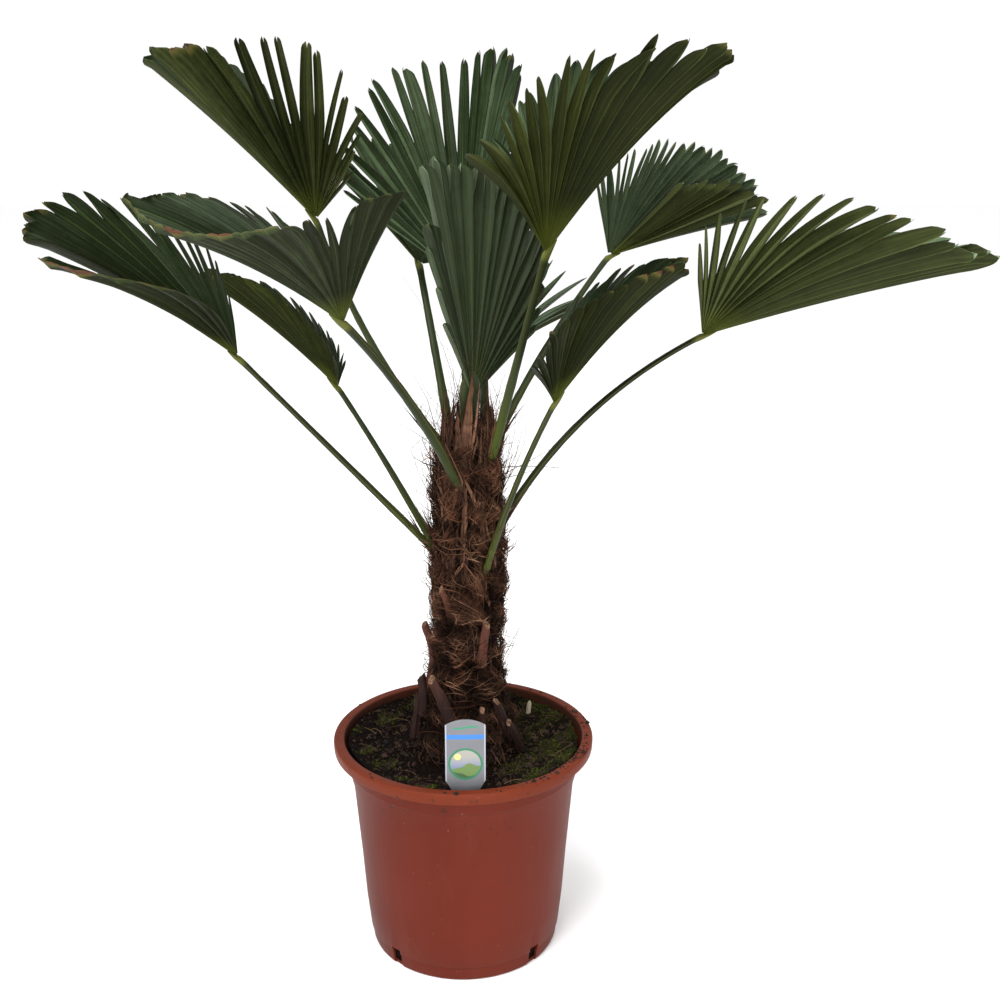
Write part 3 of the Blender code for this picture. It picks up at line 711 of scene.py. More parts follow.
def dry_sheaths(rows, material, slot, *nodes):
    """Broad torn sheaths that taper to ragged tips, as thin curled plates round the trunk.

    A row is (foot azimuth, foot height, tip azimuth, tip height, stand, width, tone).
    """
    knots, columns = 26, 9
    plate = blade_faces(knots, columns)
    share, across = np.meshgrid(np.linspace(0, 1, knots), np.linspace(-1, 1, columns), indexing="ij")
    points, faces, tones = [], [], []
    for foot_azimuth, foot, tip_azimuth, tip, stand, width, tone in rows:
        torn = [np.cumsum(rng.normal(0.0, 0.075, knots)) * np.linspace(0, 1, knots) for _ in range(3)]
        edge = np.where(across < 0, torn[0][:, None], torn[1][:, None])
        half = width / 2 * (1.0 - share**1.5) ** 0.85 * np.clip(1.0 + edge, 0.35, 1.5) + 0.0003
        height = foot + (tip - foot) * share + 0.006 * across**2 * (1 - share) + 0.002 * across * torn[2][:, None]
        middle = np.radians(foot_azimuth + (tip_azimuth - foot_azimuth) * share) + 0.25 * torn[2][:, None]
        base = trunk_radius(height)
        base = base + np.where(height > 0.64, trunk_radius(0.64) - base, 0.0) * 0.72
        ridge = 0.0005 * np.sin(across * 7.0 + 3.0 * torn[2][:, None] + foot)
        roll = 0.35 * half * share * (1.0 - across**2)
        radius = base - 0.0012 + stand * share**1.6 + ridge + roll + 0.0012 * np.sin(6.0 * share + foot_azimuth)
        angle = middle + across * half / base
        for side in (1, -1):
            rim = radius + side * 0.00035
            x = trunk_axis(height) + rim * np.cos(angle)
            points.append(np.stack([x, rim * np.sin(angle), height], -1).reshape(-1, 3))
            mottle = 0.12 * rng.normal(size=(1, columns)) + 0.06 * rng.normal(size=(knots, 1))
            tones.append((tone - 0.25 * (1 - share) ** 2 + mottle).reshape(-1))
        faces.append(plate + len(faces) * 2 * knots * columns)
    marks = {"tone": np.concatenate(tones)}
    return mesh_piece(
        "sheath_plates", np.concatenate(points), np.concatenate(faces), marks, material, slot, *nodes
    )


def strips(name, rows, material, slot, *nodes):
    """Flat dry strips: (foot azimuth, foot height, tip azimuth, tip height, stand, width)."""
    knots = 12
    share = np.linspace(0.0, 1.0, knots)
    paths, radii, outwards = [], [], []
    for foot_azimuth, foot, tip_azimuth, tip, stand, width in rows:
        wander = 3.0 * np.sin(rng.uniform(3, 6) * share + foot_azimuth) * share
        angle = np.radians(foot_azimuth + (tip_azimuth - foot_azimuth) * share + wander)
        height = foot + (tip - foot) * share
        away = -0.0015 + stand * share**1.6 + 0.0018 * np.sin(5.0 * share + foot_azimuth)
        away = away + np.where(height > 0.64, trunk_radius(0.64) - trunk_radius(height), 0.0) * 0.75
        paths.append(round_trunk(angle, height, away))
        facing = angle + rng.normal(0.0, 0.25) + rng.normal(0.0, 0.6) * share
        outwards.append(np.stack([np.cos(facing), np.sin(facing), 0 * angle], axis=-1))
        radii.append(width / 2 * (1.0 - share**2.2) * (0.75 + 0.25 * np.sin(np.pi * share)) + 0.0002)
    points, faces = tubes(np.array(paths), np.array(radii), 8, np.array(outwards), 0.16)
    tone = np.repeat(rng.uniform(0.25, 1.0, len(rows)), knots * 8)
    return mesh_piece(name, points, faces, {"tone": tone}, material, slot, *nodes)


# Leaves
class Fan:
    """The blade's rule, as in the part: rays from a hub, folded up from the keel."""

    def __init__(self, hub, aim, length, middle, side, spread, cup, turn_in, droop):
        turn, rise, twist = np.radians(aim)
        level = np.array([np.sin(turn), -np.cos(turn), 0.0])
        self.hub = np.array(hub)
        self.keel = np.array([np.cos(turn) * np.cos(rise), np.sin(turn) * np.cos(rise), np.sin(rise)])
        self.across = np.cos(twist) * level + np.sin(twist) * np.cross(level, self.keel)
        self.opening = np.cross(self.across, self.keel)
        self.length, self.middle, self.side = length, middle, side
        self.spread, self.cup, self.turn_in, self.droop = spread, cup, turn_in, droop
        self.leaflets = round(sum(spread) / LEAFLET_ANGLE)
        self.step = sum(spread) / self.leaflets

    def half(self, angle, pair):
        return np.where(angle >= 0, pair[0], pair[1])

    def end_share(self, angle):
        return np.minimum(np.abs(angle) / self.half(angle, self.spread), 1.0)

    def ray(self, angle):
        angle = np.asarray(angle, dtype=float)
        shut = np.sin(np.minimum(np.abs(angle) / self.turn_in, 1.0) * np.pi / 2)
        fold = np.radians(self.half(angle, self.cup)) * shut
        turn = np.radians(angle)
        return (
            np.cos(turn)[..., None] * self.keel
            + (np.sin(turn) * np.cos(fold))[..., None] * self.across
            + (np.abs(np.sin(turn)) * np.sin(fold))[..., None] * self.opening
        )

    def normal(self, angle):
        along = self.ray(np.asarray(angle) + 1.0) - self.ray(np.asarray(angle) - 1.0)
        return unit(np.cross(along, self.ray(angle)))

    def reach(self, angle):
        share = self.end_share(angle)
        bend = 2 * (1 + self.side - 2 * self.middle)
        return self.length * (1 + (self.side - 1 - bend) * share + bend * share**2)


class Habit:
    """How one fan's leaflets part and curl.

    tone is how light the fan is and taper how much a free tip narrows; splits are (angle,
    share of the length at which leaflets part); curled is the range of angles whose tips
    curl in and the radius of the curl; burnt is how dry the tips are, grey how far the outside
    is from olive and the inside's bright end from green, towards a grey-blue that is partly a
    waxy tint and partly painted sheen, pleat how steep the pleats are, inside how much lighter
    the inside is and lee how much painted shade darkens the side of a pleat that is turned
    away from the light; sizes are (angle, share of the rule's length) and tones are (angle,
    what is added to the tone).
    """

    def __init__(self, tone, taper, splits=None, **others):
        self.tone, self.taper, self.splits = tone, taper, splits
        self.curled = others.get("curled", (0, 0, 0.01))
        self.burnt = others.get("burnt", 0.0)
        self.grey_and_sheen = others.get("grey_and_sheen", 0.0)
        self.pleat = others.get("pleat", 1.0)
        self.inside = others.get("inside", 0.03)
        self.painted_pleat_shade = others.get("painted_pleat_shade", 0.72)
        self.sizes = others.get("sizes", ((0, 1.0),))
        self.tones = others.get("tones", ((0, 0.0),))

    def borders(self, fan):
        """For every border between leaflets: its angle, where they part and its pleat's slope."""
        even = -fan.spread[1] + fan.step * np.arange(fan.leaflets + 1)
        angle = even + fan.step * rng.uniform(-0.20, 0.20, len(even))
        angle[0], angle[-1] = even[0], even[-1]
        if self.splits:
            made = np.interp(angle, *zip(*self.splits))
        else:
            made = np.interp(fan.end_share(angle), *zip(*PARTING))
        loose = np.clip((0.95 - made) / 0.3, 0, 1)
        parting = np.clip(made + loose * rng.normal(0.0, 0.04, len(even)), 0.35, 0.985)
        return angle, parting, self.slope(len(even))

    def slope(self, count):
        return PLEAT_SLOPE * self.pleat * rng.uniform(0.70, 1.30, count)


PARTING = ((0.0, 0.94), (0.18, 0.90), (0.36, 0.74), (0.6, 0.60), (1.0, 0.55))
STATIONS = np.concatenate([[0.0, 0.04, 0.1, 0.18], np.arange(0.26, 0.86, 0.06), [0.87, 0.91, 0.94, 0.96, 0.975, 0.988, 1.0]])
ACROSS = np.array([-1.0, -0.88, -0.5, -0.09, 0.0, 0.09, 0.5, 0.88, 1.0])
TIP_NOTCH = np.array([0.955, 0.970, 0.992, 0.986, 0.972, 0.988, 1.0, 0.978, 0.960])
CURL_START = 0.955


def leaflet(fan, habit, index, borders):
    """The mid-surface of one leaflet and what its finish reads: (place, normal, marks)."""
    angles, parting, slopes = borders
    centre = float(angles[index] + angles[index + 1]) / 2
    half = float(angles[index + 1] - angles[index]) / 2
    curled = habit.curled[0] <= centre < habit.curled[1]
    uneven = 0.001 if curled else 0.020
    whole = fan.reach(centre + ACROSS * half) if curled else fan.reach(centre)
    whole = whole * rng.uniform(0.995 - uneven, 0.995 + uneven) * float(np.interp(centre, *zip(*habit.sizes)))
    loose = min(1.0, (1.05 - min(parting[index], parting[index + 1])) / 0.35)
    loose = 0.0 if curled else loose
    sway, lean, twist = loose * rng.normal(0.0, 1.0, 3) * np.array([0.9, 0.030, 0.35])
    share, fold = np.meshgrid(STATIONS, ACROSS, indexing="ij")
    notch = (TIP_NOTCH if rng.uniform() < 0.5 else TIP_NOTCH[::-1]) - 1
    notch = notch * (0.35 if curled else 1.0)
    share = share * (1 + notch[None, :] * np.clip((STATIONS[:, None] - 0.8) / 0.2, 0, 1))
    split = np.where(fold < 0, parting[index], parting[index + 1])
    split = np.where(fold == 0, (parting[index] + parting[index + 1]) / 2, split)
    free = np.clip((share - split) / (1 - split), 0.0, 1.0)
    kept = np.minimum(1.0, (split + 0.02) / np.maximum(share, 1e-6)) ** 1.1
    kept = kept * (1.0 - habit.taper * free**2.0)
    kept = np.where(curled, 1.03, kept)
    tip = np.clip((share - 0.965) / 0.035, 0.0, 1.0) * (0.0 if curled else 1.0)
    blunt = np.sqrt(np.clip(1.0 - 0.85 * tip**2.6, 0.0, 1.0))
    width = np.where(share > split, kept, 1.0) * blunt
    angle = centre + fold * half * width + sway * free
    radius = HUB_RADIUS + share * (whole - HUB_RADIUS)
    wide = math.radians(half) * width * radius
    steep = 1.25 - 0.55 * share + 0.55 * free
    middle_slope = float(habit.slope(1)[0])
    side_slope = np.where(fold < 0, slopes[index], slopes[index + 1]) * fan.step / 2 / half
    height = 0.5 * wide * steep * (np.abs(fold) * (middle_slope + side_slope) - middle_slope)
    height = height + wide * twist * fold * free
    curl = np.zeros_like(share)
    if curled:
        bend = habit.curled[2]
        past = np.clip(share - CURL_START, 0.0, None) * whole
        curl = bend * (1 - np.cos(past / bend))
        height = height * (1.0 - np.clip(past / 0.008, 0, 0.85))
        inner = HUB_RADIUS + np.minimum(share, CURL_START) * (whole - HUB_RADIUS)
        radius = inner + bend * np.sin(past / bend)
    sag = float(fan.half(centre, fan.droop)) * share**2 * whole
    lifted = height + curl + lean * whole * np.clip(share - 0.6, 0, 1) * free
    normal = fan.normal(angle)
    place = fan.hub + radius[..., None] * fan.ray(angle) + lifted[..., None] * normal
    place[..., 2] -= sag
    extra = float(np.interp(centre, *zip(*habit.tones)))
    marks = {
        "across": fold,
        "along": share,
        "tone": np.full(share.shape, habit.tone + habit.inside + extra + rng.normal(0.0, 0.12)),
        "painted_pleat_shade": np.full(share.shape, habit.painted_pleat_shade),
        "burn": np.full(share.shape, rng.uniform(0, 1) ** 2 * 0.9 + habit.burnt * rng.uniform(0.3, 0.9)),
        "grey_and_sheen": np.full(share.shape, habit.grey_and_sheen),
        "curled": np.full(share.shape, float(curled)),
    }
    return place, normal, marks


def blade_faces(rows, columns):
    """Faces of a thin plate: its front grid, its back grid and the rim between them."""
    size = rows * columns
    faces = []
    for row in range(rows - 1):
        for column in range(columns - 1):
            a = row * columns + column
            quad = (a, a + 1, a + columns + 1, a + columns)
            faces.append(quad[::-1])
            faces.append(tuple(size + corner for corner in quad))
    ring = list(range(columns))
    ring += [row * columns + columns - 1 for row in range(1, rows)]
    ring += [(rows - 1) * columns + column for column in range(columns - 2, -1, -1)]
    ring += [row * columns for row in range(rows - 2, 0, -1)]
    for this, after in zip(ring, ring[1:] + ring[:1]):
        faces.append((this, after, size + after, size + this))
    return np.array(faces)


def fan_piece(number, fan, habit, material):
    """One frond: leaflets as thin V-folded blades, joined below their parting, with blunt tips."""
    plate = blade_faces(len(STATIONS), len(ACROSS))
    borders = habit.borders(fan)
    points, faces, marks = [], [], {}
    start = 0
    for index in range(fan.leaflets):
        place, normal, made = leaflet(fan, habit, index, borders)
        for side in (1, -1):
            points.append((place + side * BLADE_THICKNESS / 2 * normal).reshape(-1, 3))
            made["outside"] = np.full(place.shape[:2], 1.0 if side < 0 else 0.0)
            made["tone"] = made["tone"] if side > 0 else made["tone"] - habit.inside
            for key, values in made.items():
                marks.setdefault(key, []).append(values.reshape(-1).copy())
        faces.append(plate + start)
        start += 2 * place.shape[0] * place.shape[1]
    marks = {key: np.concatenate(values) for key, values in marks.items()}
    name = f"fan_{number:02d}"
    faces = np.concatenate(faces)
    return mesh_piece(name, np.concatenate(points), faces, marks, material, "blade", f"frond_{number:02d}")


STALK_KNOTS = 30
STALK_SIDES = 14


class Stalk:
    """A leaf stalk's line from the trunk to its fan's hub, by the part's rule."""

    def __init__(self, fan, foot, bow, widths):
        azimuth, height = math.radians(foot[0]), foot[1]
        self.foot, self.bow, self.widths, self.fan = foot, bow, widths, fan
        self.base = round_trunk(np.array(azimuth), np.array(height), 0.001)
        self.chord = fan.hub - self.base
        self.side = unit(np.cross(self.chord, np.array([0.0, 0.0, 1.0])))
        self.lift = unit(np.cross(self.side, self.chord))

    def at(self, share):
        share = np.asarray(share, dtype=float)[..., None]
        return self.base + share * self.chord + 4 * self.bow * share * (1 - share) * self.lift

    def width(self, share):
        return self.widths[0] + (self.widths[1] - self.widths[0]) * np.minimum(1.0, 1.3 * share)


def stalk_piece(number, line, tone, material):
    """A leaf stalk, flattened on top, that runs from inside the trunk to under its fan's keel."""
    share = np.linspace(0.0, 1.0, STALK_KNOTS)
    heading = unit(line.chord + 4 * line.bow * line.lift)
    depth = np.linspace(0.024, 0.004, 5)[:, None]
    inward = np.array([float(trunk_axis(line.base[2])), 0.0, line.base[2]]) - line.base
    root = line.base - depth * heading + 0.55 * depth * unit(inward)
    past = np.array([0.004, 0.010, 0.018])
    tip = line.fan.hub + past[:, None] * line.fan.keel - 0.0016 * line.fan.opening
    path = np.concatenate([root, line.at(share), tip])
    smooth = path.copy()
    smooth[1:-1] = (path[:-2] + 2 * path[1:-1] + path[2:]) / 4
    joint = 1.0 + 0.12 * np.exp(-(((1.0 - share) / 0.03) ** 2))
    foot_width = np.linspace(1.30, 1.08, 5) * line.widths[0]
    width = np.concatenate([foot_width, line.width(share) * joint, line.widths[1] * np.array([0.9, 0.55, 0.2])])
    width = width * (1.0 + 0.025 * rng.normal(size=width.shape))
    outward = np.broadcast_to(line.lift, path.shape)
    points, faces = tubes(smooth[None], width[None] / 2, STALK_SIDES, outward[None], 0.62)
    turns = np.abs(np.cos(2 * np.pi * np.arange(STALK_SIDES) / STALK_SIDES))
    along = np.concatenate([np.zeros(5), share, np.ones(3)])
    marks = {
        "along": np.repeat(along, STALK_SIDES),
        "edge": np.tile(turns, len(path)),
        "tone": np.full(len(points), tone),
    }
    name = f"stalk_{number:02d}"
    return mesh_piece(name, points, faces, marks, material, "petiole", f"petiole_{number:02d}")


def sleeves(lines, sheath, hair):
    """What the old leaf sheaths leave: dry strips up the sides of each stalk, and their hairs."""
    knots = 14
    share = np.linspace(0.0, 1.0, knots)
    rows, radii, outward, hairs, hair_radii = [], [], [], [], []
    for line in lines:
        length = np.linalg.norm(line.chord)
        for _ in range(9):
            hand = rng.choice([-1.0, 1.0])
            up = rng.uniform(0.015, 0.075) / length
            down = rng.uniform(0.012, 0.040)
            part = np.clip((share - 0.35) / 0.65, 0, 1)
            on_stalk = line.at(up * part) + (hand * line.width(0.0) * rng.uniform(0.25, 0.62)) * line.side
            on_stalk = on_stalk + line.lift * rng.uniform(-0.004, 0.003)
            azimuth = math.radians(line.foot[0]) + hand * rng.uniform(0.0, 0.28)
            height = line.foot[1] - down * (1 - share)
            on_trunk = round_trunk(np.full(knots, azimuth), height, np.full(knots, 0.0005))
            blend = np.clip(share / 0.45, 0, 1)[:, None] ** 1.3
            path = on_trunk * (1 - blend) + on_stalk * blend
            away = hand * line.side * rng.uniform(0.0, 0.007) + line.lift * rng.normal(0, 0.002)
            path = path + part[:, None] ** 2.2 * away
            rows.append(path)
            wide = rng.uniform(0.0008, 0.0026)
            radii.append(wide * (1.0 - part**1.8) * (0.7 + 0.3 * np.sin(np.pi * share)) + 0.0002)
            outward.append(np.broadcast_to(line.lift, path.shape))
        for _ in range(34):
            hand = rng.choice([-1.0, 1.0])
            start = line.at(rng.uniform(-0.01, 0.055) / length) + hand * line.width(0.0) * 0.5 * line.side
            heading = unit(unit(line.chord) * rng.uniform(0.3, 1.0) + hand * line.side * rng.uniform(0.05, 0.8))
            heading = unit(heading + np.array([0.0, 0.0, rng.uniform(-0.2, 0.6)]))
            bend = rng.normal(0.0, 0.35, 3)
            size = rng.gamma(2.5, 0.010)
            hairs.append(start + size * (share[:, None] * heading + share[:, None] ** 2 * bend))
            hair_radii.append(rng.uniform(0.00014, 0.00030) * (1 - 0.8 * share))
    points, faces = tubes(np.array(rows), np.array(radii), 8, np.array(outward), 0.22)
    tone = np.repeat(rng.uniform(0.0, 1.0, len(rows)), knots * 8)
    mesh_piece("stalk_sleeves", points, faces, {"tone": tone}, sheath, "trunk")
    points, faces = tubes(np.array(hairs), np.array(hair_radii), 3)
    tone = np.repeat(rng.uniform(0.0, 1.0, len(hairs)), knots * 3)
    mesh_piece("sleeve_hairs", points, faces, {"tone": tone}, hair, "trunk")


def young_stalk_piece(number, fan, width, material):
    """The youngest leaf's short stalk, upright from the trunk's top."""
    foot = np.array([float(trunk_axis(0.64)), 0.0, 0.640])
    share = np.linspace(0.0, 1.0, 16)
    path = foot + share[:, None] * (fan.hub + 0.030 * fan.keel - foot)
    radii = width / 2 * np.interp(share, (0.0, 0.25, 0.66, 0.85, 1.0), (0.70, 0.72, 1.0, 0.95, 0.25))
    outward = np.broadcast_to(-fan.opening, path.shape)
    points, faces = tubes(path[None], radii[None], STALK_SIDES, outward[None], 0.40)
    turns = np.abs(np.cos(2 * np.pi * np.arange(STALK_SIDES) / STALK_SIDES))
    marks = {
        "along": np.repeat(share * 0.9, STALK_SIDES),
        "edge": np.tile(turns, len(share)),
        "tone": np.full(len(points), 0.75),
    }
    name = f"stalk_{number:02d}"
    return mesh_piece(name, points, faces, marks, material, "petiole", f"petiole_{number:02d}")


def leaves(blade, stalk):
    """Twelve fans on their stalks, numbered as in the part."""
    full = {}
    full[1] = Fan((-0.170, 0.116, 0.890), (211, 47, 28), 0.286, 0.86, 0.25, (72, 71), (17, 65), 49, (0.10, 0.03))
    full[2] = Fan((-0.249, -0.023, 0.751), (237, 36, 10), 0.334, 0.74, 0.25, (79, 25), (55, 95), 74, (0.12, 0.18))
    full[3] = Fan((-0.121, -0.132, 0.807), (208, 40, 30), 0.297, 0.74, 0.73, (80, 64), (4, 95), 90, (0.21, 0.18))
    full[4] = Fan((-0.153, 0.137, 0.682), (167, 47, -26), 0.257, 0.71, 0.31, (70, 66), (34, 20), 29, (0.15, 0.19))
    full[5] = Fan((-0.050, 0.170, 0.830), (111, 28, -7), 0.320, 0.83, 0.57, (90, 62), (14, 40), 39, (0.02, 0.12))
    full[6] = Fan((0.004, 0.130, 0.814), (55, 74, 36), 0.314, 0.83, 0.60, (34, 64), (-14, 89), 33, (0.08, 0.07))
    full[7] = Fan((0.014, -0.014, 0.702), (108, 80, -26), 0.276, 0.99, 0.70, (56, 32), (-4, 32), 84, (0.06, 0.06))
    full[8] = Fan((0.091, -0.096, 0.874), (6, 57, -9), 0.348, 0.94, 0.80, (73, 52), (53, 58), 50, (0.24, 0.31))
    full[9] = Fan((0.187, 0.186, 0.837), (29, 12, -20), 0.274, 0.64, 0.45, (40, 101), (80, 84), 14, (-0.02, 0.06))
    full[10] = Fan((0.272, -0.024, 0.773), (-32, 25, 25), 0.327, 0.89, 0.41, (63, 72), (32, 53), 72, (0.11, 0.08))
    full[11] = Fan((0.104, -0.060, 0.704), (-16, 57, -16), 0.267, 0.86, 0.59, (62, 59), (37, 18), 43, (0.18, 0.25))
    full[12] = Fan((0.030, 0.115, 0.719), (58, 17, -8), 0.290, 0.88, 0.56, (44, 60), (36, 36), 36, (0.11, 0.04))
    splits = {
        1: (
            (-71, 0.60), (-45, 0.53), (-32, 0.50), (-28, 0.54), (-23, 0.70), (-19, 0.88),
            (-10, 0.93), (12, 0.95), (30, 0.80), (72, 0.60),
        ),
        2: (
            (-25, 0.90), (-20, 0.97), (-3, 0.97), (0, 0.86), (4, 0.95), (18, 0.93), (27, 0.86),
            (36, 0.74), (44, 0.58), (53, 0.47), (79, 0.45),
        ),
        3: (
            (-64, 0.92), (-51, 0.92), (-48, 0.75), (-46, 0.52), (-42, 0.48), (-38, 0.80),
            (-34, 0.98), (0, 0.98), (19, 0.94), (28, 0.90), (32, 0.84), (36, 0.70), (45, 0.62),
            (52, 0.50), (80, 0.48),
        ),
        4: (
            (-66, 0.50), (-32, 0.45), (-28, 0.55), (-24, 0.80), (-15, 0.92), (0, 0.95),
            (15, 0.93), (19, 0.86), (24, 0.80), (28, 0.50), (32, 0.45), (70, 0.50),
        ),
        6: (
            (-64, 0.60), (-25, 0.66), (-13, 0.56), (-9, 0.66), (-4, 0.76), (4, 0.76), (13, 0.68),
            (34, 0.60),
        ),
        7: (
            (-32, 0.62), (-23, 0.72), (-14, 0.84), (3, 0.87), (16, 0.84), (25, 0.80), (29, 0.64),
            (33, 0.58), (37, 0.80), (56, 0.84),
        ),
        8: (
            (-52, 0.60), (-20, 0.80), (0, 0.95), (17, 0.92), (21, 0.83), (26, 0.76), (30, 0.69),
            (35, 0.63), (43, 0.58), (47, 0.48), (56, 0.56), (73, 0.72),
        ),
        9: (
            (-101, 0.60), (-75, 0.50), (-67, 0.53), (-63, 0.66), (-50, 0.74), (-45, 0.86),
            (-37, 0.91), (-16, 0.90), (-11, 0.80), (-7, 0.78), (0, 0.90), (20, 0.86), (40, 0.80),
        ),
        10: (
            (-72, 0.60), (-20, 0.80), (0, 0.95), (7, 0.93), (11, 0.80), (20, 0.72), (33, 0.60),
            (41, 0.50), (46, 0.42), (54, 0.42), (63, 0.50),
        ),
        11: (
            (-59, 0.55), (-33, 0.60), (-24, 0.62), (-16, 0.85), (-8, 0.92), (14, 0.93),
            (23, 0.88), (36, 0.80), (45, 0.74), (53, 0.62), (62, 0.60),
        ),
        12: ((-60, 0.40), (-4, 0.46), (0, 0.50), (44, 0.42)),
    }
    sizes = {
        1: (
            (-71, 1.10), (-56, 1.12), (-52, 1.03), (-47, 1.09), (-38, 1.09), (-34, 1.05),
            (-28, 1.00), (0, 1.00), (5, 0.95), (71, 0.95),
        ),
        6: ((-64, 1.00), (-45, 1.03), (-36, 1.06), (-28, 1.05), (-19, 1.00), (34, 1.00)),
        7: (
            (-30, 0.50), (-25, 0.62), (-21, 0.75), (-17, 0.80), (-12, 1.02), (0, 1.00),
            (37, 1.00), (46, 0.80), (56, 0.70),
        ),
        8: ((-50, 0.68), (-45, 0.74), (-37, 0.82), (-30, 0.92), (-24, 0.98), (73, 1.00)),
    }
    tones = {
        1: ((-72, 0.18), (-40, 0.16), (-26, -0.06), (0, -0.10), (72, 0.0)),
        6: ((-64, 0.14), (-12, 0.02), (-5, -0.20), (34, -0.36)),
        8: ((-52, 0.10), (0, -0.20), (36, -0.08), (46, 0.10), (73, 0.20)),
        2: ((-25, -0.20), (-5, -0.16), (5, 0.0)),
    }
    habits = {
        1: Habit(0.46, 0.30, splits[1], burnt=0.5, grey_and_sheen=0.25, sizes=sizes[1], tones=tones[1]),
        2: Habit(-0.30, 0.62, splits[2], curled=(-25, 0, 0.03), burnt=0.9, grey_and_sheen=0.1, pleat=0.7, inside=0.46, tones=tones[2]),
        3: Habit(0.18, 0.70, splits[3], curled=(-34, 13, 0.008), burnt=0.9, grey_and_sheen=0.75, pleat=0.62, inside=0.10),
        4: Habit(0.20, 0.88, splits[4], burnt=0.5, pleat=1.3, inside=0.2),
        5: Habit(0.33, 0.45),
        6: Habit(0.42, 0.50, splits[6], sizes=sizes[6], tones=tones[6]),
        7: Habit(0.78, 0.30, splits[7], grey_and_sheen=1.0, pleat=1.45, painted_pleat_shade=0.95, sizes=sizes[7]),
        8: Habit(0.52, 0.85, splits[8], burnt=0.25, grey_and_sheen=0.08, sizes=sizes[8], tones=tones[8]),
        9: Habit(0.80, 0.62, splits[9], grey_and_sheen=0.2),
        10: Habit(0.85, 0.62, splits[10], burnt=0.15, grey_and_sheen=0.35),
        11: Habit(0.16, 0.75, splits[11], burnt=1.0, grey_and_sheen=0.1),
        12: Habit(0.76, 0.95, splits[12], grey_and_sheen=0.3),
    }
    for number, fan in full.items():
        fan_piece(number, fan, habits[number], blade)
    stalks = {
        1: ((158, 0.640), -0.018, (0.013, 0.009)),
        2: ((183, 0.515), 0.0, (0.014, 0.010)),
        3: ((252, 0.605), 0.010, (0.017, 0.013)),
        4: ((148, 0.500), 0.004, (0.011, 0.008)),
        5: ((120, 0.630), 0.0, (0.012, 0.009)),
        6: ((90, 0.640), 0.0, (0.011, 0.009)),
        8: ((-38, 0.630), 0.0, (0.014, 0.010)),
        9: ((38, 0.630), 0.010, (0.012, 0.009)),
        10: ((0, 0.545), 0.024, (0.015, 0.010)),
        11: ((-58, 0.500), 0.005, (0.013, 0.010)),
        12: ((68, 0.560), 0.0, (0.010, 0.008)),
    }
    lines = {number: Stalk(full[number], *row) for number, row in stalks.items()}
    bright = {1: 0.8, 2: 0.35, 3: 0.25, 4: 0.5, 5: 0.5, 6: 0.4, 8: 0.75, 9: 0.35, 10: 0.05, 11: 0.7, 12: 0.4}
    for number, line in lines.items():
        stalk_piece(number, line, bright[number], stalk)
    young_stalk_piece(7, full[7], 0.034, stalk)
    return lines.values()


